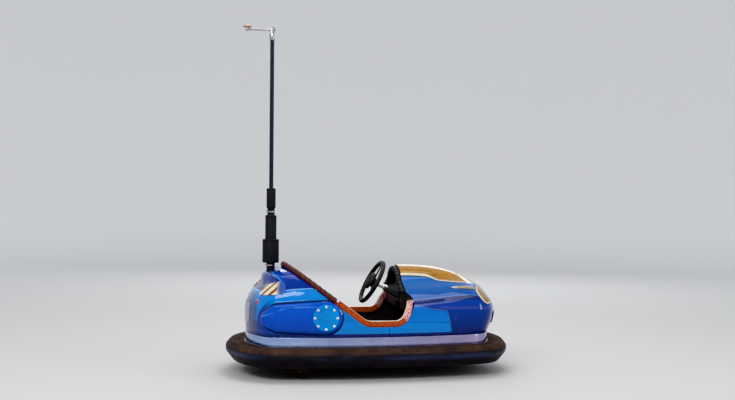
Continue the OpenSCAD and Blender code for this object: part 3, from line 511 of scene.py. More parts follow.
class Wiring:
    """Places and joins the nodes of one finish, or of one effect that several finishes share."""

    def __init__(self, tree, made=None, shader=None):
        self.tree, self.made, self.shader = tree, made, shader

    def add(self, kind, feeds=None, **settings):
        one = self.tree.nodes.new("ShaderNode" + kind
                                  if kind not in ("NodeGroupInput", "NodeGroupOutput") else kind)
        for key, value in settings.items():
            setattr(one, key, value)
        for key, value in (feeds or {}).items():
            self.feed(one.inputs[key], value)
        return one

    def feed(self, socket, value):
        if isinstance(value, bpy.types.NodeSocket):
            self.tree.links.new(value, socket)
        elif isinstance(value, tuple) and len(value) == 3 and socket.type == "RGBA":
            socket.default_value = *value, 1
        else:
            socket.default_value = value

    def place(self, stretch=(1, 1, 1), turn=(0, 0, 0)):
        """Place on the piece, stretched and turned."""
        where = self.add("TexCoord").outputs["Object"]
        if stretch == (1, 1, 1) and turn == (0, 0, 0):
            return where
        return self.add("Mapping", {"Vector": where, "Scale": stretch, "Rotation": turn}).outputs[0]

    def axis(self, name):
        return self.add("SeparateXYZ", {0: self.place()}).outputs[name]

    def noise(self, scale, detail=3.0, rough=0.55, where=None, warp=0.0):
        return self.add("TexNoise", {"Vector": where or self.place(), "Scale": scale,
                                     "Detail": detail, "Roughness": rough, "Distortion": warp}).outputs[0]

    def reckon(self, operation, a, b=0.0, c=0.0, use_clamp=False):
        return self.add("Math", {0: a, 1: b, 2: c}, operation=operation, use_clamp=use_clamp).outputs[0]

    def times(self, a, b, *others, **more):
        if others:
            return self.times(self.reckon("MULTIPLY", a, b), *others, **more)
        return self.reckon("MULTIPLY", a, b, **more)

    def plus(self, a, b):
        return self.reckon("ADD", a, b)

    def less(self, a, b):
        return self.reckon("SUBTRACT", a, b)

    def rest(self, share, **more):
        """What a share leaves of 1."""
        return self.reckon("SUBTRACT", 1.0, share, **more)

    def above(self, value, edge, soft):
        """Goes from 0 to 1 as value passes edge."""
        return self.add("MapRange", {0: value, 1: edge - soft, 2: edge + soft, 3: 0.0, 4: 1.0},
                        interpolation_type="SMOOTHSTEP").outputs[0]

    def spread(self, value, low, high, to_low=0.0, to_high=1.0):
        return self.add("MapRange", {0: value, 1: low, 2: high, 3: to_low, 4: to_high}).outputs[0]

    def patches(self, *noise, **more):
        """Soft patches of noise, from 0 to 1."""
        return self.spread(self.noise(*noise, **more), 0.3, 0.7)

    def line(self, value, centre, half, soft):
        """A line where value is near centre."""
        away = self.reckon("ABSOLUTE", self.less(value, centre))
        return self.rest(self.above(away, half, soft))

    def mix(self, share, a, b, strength=None):
        share = share if strength is None else self.times(share, strength)
        return self.add("Mix", {0: share, 6: a, 7: b}, data_type="RGBA").outputs[2]

    def drawn(self, name):
        """A distance that was written on the piece's vertices."""
        return self.add("Attribute", attribute_name=name).outputs["Fac"]

    def shared(self, group, feeds=None, put=0):
        one = self.add("Group", node_tree=group)
        for key, value in (feeds or {}).items():
            self.feed(one.inputs[key], value)
        return one.outputs[put]

    def dusty(self, tone, low, high, amount, upper, colour=DUST):
        """Gives the finish its colour with dust over it, and hands back where the dust lies."""
        mask = self.shared(floor_dust, {"Low": low, "High": high, "Amount": amount, "Upper": upper})
        self.give("Base Color", self.mix(mask, tone, colour))
        return mask

    def worn(self, put, scale, amount):
        return self.shared(scuffs, {"Scale": scale, "Amount": amount}, put)

    def upward(self):
        """How far a face looks up."""
        return self.add("SeparateXYZ", {0: self.add("NewGeometry").outputs["Normal"]}).outputs["Z"]

    def give(self, name, value):
        """Joins a value to one input of the finish's shader."""
        self.feed(self.shader.inputs[name], value)

    def skin(self, height, depth, strength=1.0):
        """Raises the surface a little by height."""
        raised = self.add("Bump", {"Height": height, "Distance": depth, "Strength": strength})
        self.give("Normal", raised.outputs[0])


def shade(colour, factor, lift=0.0):
    """A colour made darker or lighter."""
    return tuple(min(1, c * factor + lift) for c in colour)


def effect(name, inputs, outputs):
    """An empty shared effect with its named inputs and outputs."""
    group = bpy.data.node_groups.new(name, "ShaderNodeTree")
    for key, value in inputs.items():
        group.interface.new_socket(name=key, in_out="INPUT",
                                   socket_type="NodeSocketFloat").default_value = value
    for key in outputs:
        group.interface.new_socket(name=key, in_out="OUTPUT", socket_type="NodeSocketFloat")
    net = Wiring(group)
    return group, net, net.add("NodeGroupInput").outputs, net.add("NodeGroupOutput").inputs


def make_floor_dust():
    """Dust that settles low down and on the upper sides, in uneven patches."""
    group, net, given, result = effect("floor_dust",
                                       {"Low": 0.1, "High": 0.4, "Amount": 0.5, "Upper": 0.5}, ["Mask"])
    low = net.rest(net.add("MapRange", {0: net.axis("Z"), 1: given["Low"], 2: given["High"]}).outputs[0])
    up = net.upward()
    up = net.times(net.above(up, 0.55, 0.35), given["Upper"])
    patches = net.spread(net.noise(9, 6, 0.65, warp=0.4), 0.3, 0.72, 0.15, 1.0)
    fine = net.spread(net.noise(160, 3, 0.6), 0.3, 0.7, 0.6, 1.0)
    mask = net.times(net.reckon("MAXIMUM", low, up), patches, fine)
    net.feed(result[0], net.times(mask, given["Amount"], use_clamp=True))
    return group


def make_scuffs():
    """Fine straight scratches and duller rubbed patches."""
    group, net, given, result = effect("scuffs", {"Scale": 1.0, "Amount": 0.5}, ["Lines", "Rubbed"])
    lines = None
    for turn, stretch in ((0.25, (5, 5, 300)), (-0.6, (7, 220, 7)), (1.1, (260, 6, 8))):
        where = net.add("VectorMath", {0: net.place(stretch, (turn, turn * 0.7, turn)),
                                       "Scale": given["Scale"]}, operation="SCALE").outputs[0]
        one = net.above(net.noise(1.0, 1, 0.4, where), 0.735, 0.012)
        lines = one if lines is None else net.reckon("MAXIMUM", lines, one)
    gate = net.above(net.noise(5, 3, 0.6), 0.52, 0.08)
    net.feed(result[0], net.times(lines, gate, given["Amount"], use_clamp=True))
    net.feed(result[1], net.times(net.spread(net.noise(11, 5, 0.65, warp=0.6), 0.45, 0.75),
                                  given["Amount"], use_clamp=True))
    return group


def make_hide_grain():
    """Grain of stretched vinyl: small rounded cells with creases between them."""
    group, net, given, result = effect("hide_grain", {"Scale": 900.0}, ["Height", "Tone"])
    shift = net.add("CombineXYZ", {0: net.spread(net.noise(60, 2), 0, 1, -0.001, 0.001)}).outputs[0]
    where = net.add("VectorMath", {0: net.place(), 1: shift}, operation="ADD").outputs[0]
    cells = net.add("TexVoronoi", {"Vector": where, "Scale": given["Scale"], "Randomness": 0.95},
                    feature="DISTANCE_TO_EDGE").outputs[0]
    net.feed(result[0], net.spread(cells, 0.0, 0.35))
    net.feed(result[1], net.patches(24, 5, 0.6))
    return group


def make_cast_skin():
    """Rough skin of a sand casting with a few dark pits."""
    group, net, given, result = effect("cast_skin", {"Scale": 1.0}, ["Height", "Stain"])
    where = net.add("VectorMath", {0: net.place(), "Scale": given["Scale"]}, operation="SCALE").outputs[0]
    net.feed(result[0], net.plus(net.noise(420, 3, 0.6, where),
                                 net.times(net.noise(90, 2, 0.5, where), 0.6)))
    net.feed(result[1], net.spread(net.noise(26, 6, 0.7, where), 0.4, 0.72))
    return group


floor_dust, scuffs = make_floor_dust(), make_scuffs()
hide_grain, cast_skin = make_hide_grain(), make_cast_skin()


def finish(name, **fixed):
    """The wiring of a new finish with its plain values."""
    made = bpy.data.materials.new(name)
    made.use_nodes = True
    net = Wiring(made.node_tree, made, made.node_tree.nodes["Principled BSDF"])
    for key, value in fixed.items():
        net.give(key.replace("_", " "), value)
    return net


def painted_steel(name, colour, rust=0.3, rough=0.45, dust=0.5, chips=0.6):
    net = finish(name, Metallic=0.0, Coat_Weight=0.15, Coat_Roughness=0.3)
    worn = net.above(net.noise(38, 6, 0.7, warp=0.5), 1 - 0.42 * chips, 0.02)
    ring = net.above(net.noise(38, 6, 0.7, warp=0.5), 0.965 - 0.42 * chips, 0.03)
    tone = net.mix(net.patches(14, 4), colour, shade(colour, 1.5, 0.006))
    rusty = net.mix(net.noise(70, 4, 0.6), (0.11, 0.038, 0.016), (0.26, 0.1, 0.04))
    tone = net.mix(net.times(ring, rust), tone, rusty)
    tone = net.mix(worn, tone, (0.3, 0.27, 0.25), 0.8)
    mask = net.dusty(tone, 0.05, 0.7, dust, 0.8)
    net.give("Roughness", net.spread(net.plus(net.noise(50, 4), net.times(mask, 0.8)),
                                     0.3, 1.3, rough, 0.85))
    net.give("Metallic", net.times(worn, 0.75))
    net.skin(net.less(net.noise(300, 3), net.times(worn, 0.8)), 0.0004)
    return net.made


def bare_metal(name, dark, light, rough=(0.22, 0.42), stretch=(1, 1, 1), scratch=0.6, dust=0.15, skin=8e-05):
    net = finish(name, Metallic=1.0)
    brushed = net.noise(260, 3, 0.6, net.place(stretch))
    patch = net.noise(8, 5, 0.6, warp=0.3)
    tone = net.mix(net.spread(net.plus(brushed, patch), 0.6, 1.4), dark, light)
    rubbed = net.worn("Rubbed", 1.0, scratch)
    lines = net.worn("Lines", 1.4, scratch)
    tone = net.mix(rubbed, tone, shade(dark, 0.6), 0.35)
    mask = net.dusty(tone, 0.0, 0.5, dust, 0.4)
    net.give("Metallic", net.rest(mask, use_clamp=True))
    wear = net.plus(net.times(brushed, 0.5), net.plus(rubbed, net.times(lines, 0.5)))
    net.give("Roughness", net.spread(wear, 0.2, 1.2, *rough))
    net.skin(net.less(brushed, lines), skin)
    return net.made


def cast_metal(name, colour, metallic=0.5, rough=0.62):
    net = finish(name, Metallic=metallic)
    stain = net.shared(cast_skin, {"Scale": 1.0}, "Stain")
    tone = net.mix(stain, colour, shade(colour, 0.55))
    mask = net.dusty(tone, 0.0, 0.45, 0.55, 0.7)
    net.give("Roughness", net.spread(net.plus(stain, mask), 0, 1.6, rough, 0.9))
    net.skin(net.shared(cast_skin, {"Scale": 1.0}, "Height"), 0.0006)
    return net.made


def moulded(name, colour, rough=0.5, coat=0.0, grain=0.00015,
            grain_scale=500, dust=0.25, scratch=0.35, glint=0.5):
    """Moulded plastic or rubber: a fine pebbled skin with rubbed and dusty places."""
    net = finish(name, Coat_Weight=coat, Coat_Roughness=0.12, Specular_IOR_Level=glint)
    pebble = net.noise(grain_scale, 2, 0.5)
    rubbed = net.worn("Rubbed", 1.0, scratch)
    lines = net.worn("Lines", 1.2, scratch)
    tone = net.mix(net.patches(16, 5, 0.6), shade(colour, 0.82), shade(colour, 1.12))
    tone = net.mix(lines, tone, shade(colour, 1.7, 0.035), 0.55)
    mask = net.dusty(tone, 0.0, 0.5, dust, 0.7)
    net.give("Roughness", net.spread(net.plus(net.times(rubbed, 0.7),
                                              net.plus(mask, net.times(pebble, 0.3))),
                                     0, 1.5, rough, min(1, rough + 0.45)))
    net.skin(net.less(pebble, net.times(lines, 0.8)), grain)
    return net.made


def upholstery(name, colour, worn, rough=0.4, scale=620, dust=0.12):
    """Stretched vinyl over padding: grain, crazed wear and a dull shine."""
    net = finish(name, Specular_IOR_Level=0.5, Coat_Weight=0.12, Coat_Roughness=0.3)
    grain = net.shared(hide_grain, {"Scale": scale}, "Height")
    tone = net.mix(net.shared(hide_grain, {"Scale": scale}, "Tone"),
                   shade(colour, 0.72), shade(colour, 1.15))
    rubbed = net.spread(net.noise(9, 6, 0.62, warp=0.5), 0.52, 0.78)
    crease = net.line(net.noise(15, 4, 0.6, net.place((1, 1.6, 1)), 1.2), 0.5, 0.004, 0.006)
    tone = net.mix(rubbed, tone, worn, 0.45)
    tone = net.mix(net.rest(grain), tone, shade(colour, 0.4), 0.35)
    tone = net.mix(crease, tone, shade(colour, 0.35), 0.4)
    mask = net.dusty(tone, 0.2, 0.5, dust, 0.6)
    net.give("Roughness", net.spread(net.plus(net.times(grain, -0.35), net.less(net.noise(30, 4), rubbed)),
                                     -0.8, 0.6, rough - 0.1, rough + 0.22))
    net.skin(net.less(grain, net.times(crease, 1.5)), 0.00035)
    return net.made


# Colours of the car, as light from each paint
DEEP_BLUE, SKY_BLUE, EDGE_BLUE = (0.0015, 0.036, 0.31), (0.003, 0.18, 0.6), (0.001, 0.01, 0.085)
HIGHLIGHT_LILAC, OLIVE, CREAM, SHADOW_TEAL = (0.26, 0.25, 0.55), (0.22, 0.15, 0.025), (0.74, 0.62, 0.41), (0.003, 0.05, 0.11)
BROWN, PALE = (0.14, 0.06, 0.018), (0.46, 0.6, 0.84)


def gelcoat(name, front):
    """Sprayed colours under a clear coat, with the painted lines, painted highlights and painted shade of the
    front or the rear moulding.
    """
    net = finish(name, Coat_Weight=1.0, Coat_Roughness=0.05, Coat_IOR=1.4, Specular_IOR_Level=0.05)
    x, z = net.axis("X"), net.axis("Z")
    drift = net.spread(net.noise(5, 3, 0.5), 0.3, 0.7, -0.012, 0.012)
    level = net.plus(z, drift)
    if front:
        crease, panel, gold = net.drawn("crease"), net.drawn("panel"), net.drawn("gold")
        sky = net.mix(net.above(level, 0.425, 0.055), SKY_BLUE, (0.003, 0.105, 0.46))
        sky = net.mix(net.above(net.drawn("sill"), 0, 0.0012), (0.004, 0.215, 0.66), sky, 0.75)
        sky = net.mix(net.line(net.drawn("sill"), 0, 0.0026, 0.0014), sky, (0.002, 0.06, 0.32), 0.85)
        nose = net.mix(net.spread(level, 0.3, 0.5), (0.0005, 0.018, 0.16), (0.001, 0.036, 0.28))
        side = net.mix(net.above(panel, 0, 0.0012), nose, sky)
        side = net.mix(net.line(panel, -0.005, 0.0016, 0.0012), side, PALE, 0.35)
        # Painted highlight: a lilac sheen along the nose's shoulder.
        shoulder_highlight = net.times(net.line(net.plus(z, net.times(drift, 0.6)), 0.462, 0.004, 0.016),
                         net.above(x, 0.4, 0.05))
        side = net.mix(shoulder_highlight, side, HIGHLIGHT_LILAC, 0.32)
        hood = net.mix(net.spread(net.plus(crease, drift), 0.0, 0.2),
                       (0.006, 0.075, 0.33), (0.014, 0.15, 0.45))
        body = net.mix(net.above(crease, 0, 0.001), side, hood)
        body = net.mix(net.line(crease, -0.002, 0.0125, 0.0035), body, (0.001, 0.014, 0.12))
        body = net.mix(net.line(crease, 0.0135, 0.0014, 0.001), body, PALE, 0.3)
        gilt = net.mix(net.spread(net.plus(net.noise(7, 3, 0.5, net.place((0.6, 2, 1))),
                                           net.times(gold, 2.0)), 0.35, 1.05),
                       (0.34, 0.145, 0.014), (0.5, 0.27, 0.035))
        tip = net.above(x, 0.69, 0.045)
        gilt = net.mix(tip, gilt, OLIVE, 0.65)
        # Painted shadow: a dark teal line round the outside of the gold, where the hood's edge casts shade.
        body = net.mix(net.above(gold, -0.0045, 0.001), body, SHADOW_TEAL)
        body = net.mix(net.above(gold, 0, 0.001), body, CREAM)
        body = net.mix(net.above(gold, 0.012, 0.001), body, (0.12, 0.05, 0.014))
        body = net.mix(net.above(gold, 0.0145, 0.001), body, gilt)
        pinstripe = net.times(net.line(gold, 0.034, 0.0016, 0.001), net.rest(net.times(tip, 0.4)))
        body = net.mix(pinstripe, body, BROWN)
    else:
        pod, band, swoop = net.drawn("pod"), net.drawn("band"), net.drawn("swoop")
        deck = net.mix(net.spread(level, 0.58, 0.72), (0.001, 0.022, 0.22), (0.002, 0.045, 0.36))
        # Painted highlight: a light arc along the rounded corner of the deck.
        deck = net.mix(net.line(swoop, 0.013, 0.0065, 0.005), deck, (0.02, 0.25, 0.74), 0.8)
        deck = net.mix(net.line(swoop, 0, 0.0035, 0.0012), deck, EDGE_BLUE)
        sky = net.mix(net.above(level, 0.5, 0.09), SKY_BLUE, (0.004, 0.205, 0.65))
        sky = net.mix(net.times(net.above(z, 0.377, 0.0015), net.above(x, -0.29, 0.012)),
                      (0.004, 0.215, 0.66), sky)
        side = net.mix(net.above(band, 0, 0.0012), deck, sky)
        # Painted highlight: a pale line along the top edge of the light blue band.
        side = net.mix(net.line(band, 0.004, 0.0022, 0.0012), side, PALE, 0.7)
        low = net.times(net.rest(net.above(level, 0.375, 0.02)), net.rest(net.above(x, -0.33, 0.04)))
        side = net.mix(low, side, (0.0015, 0.036, 0.27), 0.9)
        behind = net.times(net.above(pod, -0.03, 0.0015), net.rest(net.above(x, -0.73, 0.05)))
        side = net.mix(behind, side, DEEP_BLUE)
        # Painted shade: the pod grows darker towards its bottom.
        spat = net.mix(net.spread(level, 0.29, 0.45), (0.0005, 0.046, 0.37), (0.001, 0.08, 0.54))
        # Painted highlight: light streaks along the upper side of the pod.
        streak = net.times(net.line(net.drawn("streak"), 0, 0.003, 0.008),
                           net.spread(net.noise(14, 2, 0.5, net.place((1, 1, 0.3))), 0.35, 0.6))
        spat = net.mix(streak, spat, (0.14, 0.42, 0.86), 0.8)
        # Painted shade: a dark band round the pod's lip, where its groove is.
        side = net.mix(net.above(pod, 0.0, 0.001), side, EDGE_BLUE)
        body = net.mix(net.above(pod, 0.013, 0.0016), side, spat)
        # Painted highlight along the crest of the pod's lip.
        body = net.mix(net.line(pod, 0.016, 0.0014, 0.0012), body, (0.02, 0.2, 0.66), 0.45)
        # Painted shade and reflection: the rear face is a dim grey-lilac.
        tail = net.rest(net.above(net.plus(x, net.times(drift, 0.3)), -0.797, 0.004))
        tail = net.times(tail, net.rest(net.reckon("MAXIMUM", behind, net.above(pod, -0.004, 0.002))))
        body = net.mix(net.times(tail, net.spread(net.noise(9, 3), 0.35, 0.65, 0.5, 0.85)),
                       body, (0.055, 0.058, 0.12))
    body = net.mix(net.line(z, 0.288, 0.0145, 0.001), body, (0.001, 0.016, 0.14))
    mottle = net.spread(net.noise(22, 5, 0.6), 0.35, 0.7, 0.0, 0.16)
    body = net.mix(mottle, body, (0.0, 0.012, 0.1))
    lines = net.worn("Lines", 1.1, 0.55)
    rubbed = net.worn("Rubbed", 0.8, 0.5)
    body = net.mix(lines, body, PALE, 0.12)
    mask = net.dusty(body, 0.275, 0.36, 0.22, 0.12)
    net.give("Roughness", net.spread(net.plus(rubbed, mask), 0, 1, 0.22, 0.6))
    net.give("Coat Weight", net.spread(net.plus(net.times(rubbed, 0.5), mask), 0, 1, 1.0, 0.35))
    net.skin(net.less(net.noise(42, 2, 0.4), net.times(lines, 0.2)), 0.0005, 0.35)
    return net.made


front_paint, rear_paint = gelcoat("front_gelcoat", True), gelcoat("rear_gelcoat", False)
raw_laminate = moulded("raw_laminate", (0.028, 0.03, 0.036), 0.6, grain=0.0006, grain_scale=180, dust=0.4)
frame_steel = painted_steel("frame_steel", (0.025, 0.028, 0.032))
floor_steel = painted_steel("floor_steel", (0.045, 0.046, 0.05), chips=0.8, dust=0.8)

# Body mouldings


def spaced(low, high, per_step):
    """Steps of the plan between two steps, closer together where the steps are long."""
    places = []
    for k in range(low, high):
        inside = k % QUARTER if k // QUARTER % 2 == 0 else QUARTER - 1 - k % QUARTER
        n = per_step[0] if inside < END_N else per_step[1] if inside < END_N + CORNER_N else per_step[2]
        places += [k + j / n for j in range(n)]
    return places + [high]


def levels(counts):
    """Levels of the body with counts rows on the lower wall, the upper wall and the crown."""
    return [part + j / n for part, n in enumerate(counts) for j in range(n)] + [3]


# Side opening: seat, slope, front, notch and cowl, with the radius of each bend between them
OPENING = [(SEAT_X, EDGE_TOP), (SLOPE_X, SILL), (COWL_X - 0.037, SILL), (NOTCH_X, NOTCH_Z),
           (COWL_X, NOTCH_Z + 0.042)]
BENDS = 0.15, 0.105, 0.048


def opening_bends(steps, inset=0.0):
    """The three rounded bends of the side opening, each in so many steps."""
    return [arc(*OPENING[k:k + 3], BENDS[k], inset, n) for k, n in enumerate(steps)]


def opening_planes():
    """Side opening as straight cuts, each a place and the direction into the opening."""
    slope, front, notch = opening_bends((12, 10, 6))
    line = [Vector(OPENING[0])] + slope + front + notch + [Vector(OPENING[-1])]
    cuts = []
    for a, b in zip(line, line[1:]):
        ahead = (b - a).normalized()
        cuts.append(((a.x, 0, a.y), (-ahead.y, 0, ahead.x)))
    return cuts, ((COWL_X, 0, 0), (-1, 0, 0))


def cut_away(form, cuts):
    """Cuts out what lies inside all the planes, with clean edges."""
    inside = form.faces[:]
    for place, into in cuts:
        geom = list({g for f in inside for g in (*f.verts, *f.edges, f)})
        made = bmesh.ops.bisect_plane(form, geom=geom, dist=1e-06, plane_co=place, plane_no=into)["geom"]
        faces = {g for g in made if isinstance(g, bmesh.types.BMFace)}
        inside = [f for f in faces if (f.calc_center_median() - Vector(place)).dot(Vector(into)) > 0]
        if not inside:
            return
    bmesh.ops.delete(form, geom=inside, context="FACES")


def body_shell(front):
    """One moulding of the body, cut out for the cockpit and at the joint between front and rear."""
    if front:
        columns, rows = spaced(-QUARTER - 1, QUARTER + 1, (9, 4, 10)), levels((12, 16, 34))
    else:
        columns, rows = spaced(QUARTER - 1, 3 * QUARTER + 1, (16, 11, 16)), levels((26, 36, 30))
    form = sheet_on_body(columns, rows)
    bmesh.ops.remove_doubles(form, verts=form.verts, dist=2e-05)
    ridge = [v for v in form.verts if abs(v.co.z - shoulder(v.co.x)) < 0.009]
    fairing = [v for v in form.verts if v.co.x > 0.62 and abs(v.co.y) < 0.15 and v.co.z > 0.51]
    lip = [v for v in form.verts if -0.014 < wall_pod_depth(v.co) < 0.034]
    for soft, turns in ((ridge, 2), (fairing, 60), (lip, 4)):
        for _ in range(turns):
            relax(form, soft, 0.5)
    cuts, upper = opening_planes()
    cut_away(form, cuts)
    cut_away(form, [cuts[0], (cuts[-1][0], (-cuts[-1][1][0], 0, -cuts[-1][1][2])), upper])
    side = 1 if front else -1
    bmesh.ops.bisect_plane(form, geom=everything(form), dist=1e-06,
                           plane_co=(SPLIT_X + side * 0.0012, 0, 0), plane_no=(side, 0, 0), clear_inner=True)
    bmesh.ops.delete(form, geom=[v for v in form.verts if not v.link_faces], context="VERTS")
    face_out(form)
    if max(form.faces, key=lambda f: f.calc_center_median().z).normal.z < 0:
        bmesh.ops.reverse_faces(form, faces=form.faces)
    return form


def write_distances(form, **fields):
    """Writes distances to the painted lines on the vertices."""
    for name, distance in fields.items():
        layer = form.verts.layers.float.new(name)
        for v in form.verts:
            v[layer] = distance(v.co)


STRIPE_EDGE = drawn([(0.18, 0.141), (0.38, 0.142), (0.417, 0.148), (0.45, 0.166), (0.515, 0.183),
                     (0.609, 0.197), (0.66, 0.186), (0.7, 0.155),
                     (0.733, 0.118), (0.76, 0.095), (0.8, 0.085)])
CAP_EDGE = drawn([(0.455, 0.86), (0.47, 0.8), (0.482, 0.762), (0.498, 0.735),
                  (0.526, 0.711), (0.559, 0.699), (0.58, 0.716), (0.599, 0.752), (0.62, 0.765)])
PANEL_FRONT = drawn([(0.28, 0.498), (0.291, 0.495), (0.381, 0.479), (0.443, 0.459), (0.47, 0.44)])
PANEL_TOP = drawn([(0.0, 0.5), (0.22, 0.487), (0.3, 0.468), (0.38, 0.452), (0.46, 0.443), (0.5, 0.44)])
SILL_LINE = drawn([(0.06, 0.379), (0.18, 0.377), (0.3, 0.374), (0.47, 0.368)])
DECK_EDGE = drawn([(-0.85, 0.545), (-0.764, 0.573), (-0.714, 0.582), (-0.632, 0.59),
                   (-0.57, 0.599), (-0.476, 0.604), (-0.408, 0.606), (-0.33, 0.6), (-0.2, 0.6)])
POD_HIGHLIGHT_LINE = drawn([(-0.78, 0.415), (-0.68, 0.456), (-0.613, 0.479), (-0.484, 0.484), (-0.4, 0.48)])


def gold_depth(p):
    stripe = STRIPE_EDGE(p.x) - abs(p.y) if p.x < 0.8 and p.z > 0.5 else -0.1
    cap = (p.x - CAP_EDGE(p.z)) * 0.8
    return max(stripe, min(cap, (p.z - 0.482) * 1.2))


def wall_pod_depth(p):
    """Depth inside the pod's outline, found from the place on the wall."""
    y = abs(p.y)
    if p.x > -0.15 or y < 0.12:
        return -0.1
    a = math.degrees(math.atan2(y - side_c, -p.x))
    if a < side_a:
        a = math.degrees(math.atan2(y - corner_y, -p.x - corner_x))
        if a < end_a:
            a = math.degrees(math.atan2(y, -p.x - end_c))
    return max(-0.1, pod_depth(180 - a, p.z)) if p.z < 0.56 else -0.1


def swoop_depth(p):
    """Distance behind the painted line that runs from the seat's corner down the deck, with a painted
    highlight beside it.
    """
    bow = 0.03 if abs(p.y) < 0.2 else 0.03 * ease((0.33 - abs(p.y)) / 0.13)
    return p.x + 0.655 + (p.z - 0.64) * 0.25 + bow


front_form = body_shell(True)
write_distances(front_form, crease=lambda p: p.z - shoulder(p.x) + 0.002, gold=gold_depth,
                panel=lambda p: min(PANEL_FRONT(p.z) - p.x, PANEL_TOP(p.x) - p.z),
                sill=lambda p: p.z - SILL_LINE(p.x))
rear_form = body_shell(False)
write_distances(rear_form, pod=wall_pod_depth, band=lambda p: DECK_EDGE(p.x) - p.z,
                swoop=swoop_depth, streak=lambda p: p.z - POD_HIGHLIGHT_LINE(p.x))
for name, form, paint, node in (("front_moulding", front_form, front_paint, "front_body"),
                                ("rear_moulding", rear_form, rear_paint, "rear_body")):
    shell = piece(name, form, [paint, raw_laminate], [node], crisp=50)
    wall = shell.modifiers.new("laminate", "SOLIDIFY")
    wall.thickness, wall.offset, wall.material_offset, wall.use_even_offset = SHELL, -1, 1, True

# Bumper, band and skirt


def bumper_finish():
    """Black rubber: brown dust on the top, a bluish band that is painted reflection and is rubbed smoother,
    and dark scrubbed knocks on the side.
    """
    net = finish("bumper_rubber", Specular_IOR_Level=0.36)
    z = net.axis("Z")
    blotch = net.noise(7, 6, 0.65, warp=0.5)
    fine = net.noise(110, 4, 0.65)
    tone = net.mix(net.spread(blotch, 0.3, 0.7), (0.006, 0.0055, 0.007), (0.016, 0.0135, 0.016))
    # Painted reflection: a bluish band round the side, where the rubber is also rubbed smoother.
    rubbed_band_and_reflection = net.times(net.line(net.plus(z, net.spread(net.noise(3, 2), 0.3, 0.7, -0.008, 0.008)),
                             0.158, 0.008, 0.02), net.spread(net.noise(2.2, 4, 0.6), 0.42, 0.62))
    tone = net.mix(rubbed_band_and_reflection, tone, (0.052, 0.064, 0.14), 0.75)
    streaks = net.above(net.noise(5, 4, 0.6, net.place((1, 1, 16))), 0.6, 0.06)
    tone = net.mix(streaks, tone, (0.06, 0.053, 0.055), 0.35)
    up = net.upward()
    top = net.times(net.above(net.plus(up, net.spread(blotch, 0.3, 0.7, -0.14, 0.14)), 0.5, 0.36),
                    net.spread(fine, 0.25, 0.65, 0.55, 1.0))
    tone = net.mix(top, tone, net.mix(net.spread(blotch, 0.35, 0.65),
                                      (0.048, 0.03, 0.024), (0.115, 0.068, 0.042)), 0.82)
    net.give("Base Color", tone)
    net.give("Roughness", net.spread(net.plus(net.times(top, 1.1),
                                              net.less(net.noise(20, 4), net.times(rubbed_band_and_reflection, 0.5))),
                                     0.2, 1.4, 0.42, 0.92))
    net.skin(net.plus(net.noise(420, 2), net.times(net.noise(36, 4, 0.6), 1.2)), 0.0006)
    return net.made


BUMPER_SECTION = [(-BUMPER_D, BUMPER_Z + 0.006, 0), (-0.05, BUMPER_Z, 0.01),
                  (-0.0004, BUMPER_Z + 0.062, 0.045), (-0.0004, BUMPER_TOP - 0.034, 0.03),
                  (-0.03, BUMPER_TOP, 0.016), (-BUMPER_D, BUMPER_TOP - 0.004, 0)]
section = rounded(BUMPER_SECTION, 8)
bumper = round_the_plan(section)
welt = rounded([(-0.0885, BUMPER_TOP - 0.004, 0), (-0.0885, BUMPER_TOP + 0.0012, 0.002),
                (-0.0805, BUMPER_TOP + 0.0012, 0.002), (-0.0805, BUMPER_TOP - 0.004, 0)], 3)
bumper = gather(bumper, round_the_plan([(p.x, p.y - 0.0006) for p in welt]))
piece("rubber_bumper", bumper, bumper_finish(), ["bumper_ring"], crisp=40)


def skirt_finish():
    """Polished skirt with a faint grain along it, a painted reflection that is bluish behind and lilac in
    front, dusty at its foot.
    """
    net = finish("polished_skirt", Metallic=1.0)
    grain = net.noise(240, 3, 0.6, net.place((1, 1, 14)))
    patch = net.spread(net.noise(6, 5, 0.6, warp=0.4), 0.3, 0.72)
    # Painted reflection: the tint goes from bluish at the back to lilac at the front.
    ahead = net.spread(net.plus(net.axis("X"), net.times(patch, 0.25)), -0.55, 0.65)
    bright_reflection = net.mix(ahead, (0.44, 0.58, 0.9), (0.5, 0.43, 0.66))
    tone = net.mix(net.spread(net.plus(grain, patch), 0.5, 1.5),
                   net.mix(ahead, (0.3, 0.4, 0.68), (0.36, 0.32, 0.5)), bright_reflection)
    rubbed = net.worn("Rubbed", 1.0, 0.7)
    lines = net.worn("Lines", 1.4, 0.7)
    mask = net.dusty(tone, 0.2, 0.235, 0.8, 1.2, (0.1, 0.075, 0.06))
    net.give("Metallic", net.rest(net.times(mask, 0.8), use_clamp=True))
    net.give("Roughness", net.spread(net.plus(net.times(grain, 0.4), net.plus(rubbed, mask)),
                                     0.2, 1.2, 0.12, 0.36))
    dents = net.times(net.noise(9, 2, 0.5, net.place((1, 1, 0.4))), 6.0)
    net.skin(net.plus(net.less(grain, lines), dents), 0.0001)
    return net.made


foot, shelf = BUMPER_TOP - 0.022, SKIRT_TOP - 0.0003
skirt_in = -BUMPER_D - 0.0066
skirt_line = rounded([(skirt_in - 0.003, foot, 0), (skirt_in - 0.003, shelf - 0.003, 0.002),
                      (-BODY_IN - 0.018, shelf - 0.003, 0), (-BODY_IN - 0.018, shelf, 0),
                      (skirt_in, shelf, 0.0028), (skirt_in, foot, 0)], 4)
skirt = round_the_plan(skirt_line)
for direction in (42, 75, 90, 105, 138, -42, -75, -90, -105, -138,
                  0, 12, -12, 180, 168, -168, 25, -25, 155, -155):
    skirt = dome_head(wall_place(direction, shelf - 0.014, skirt_in - 0.0002), 0.0042, 0.0018, skirt)
piece("skirt_sheet", skirt, skirt_finish(), ["kick_skirt"], crisp=40)

# Coloured mouldings of the side openings


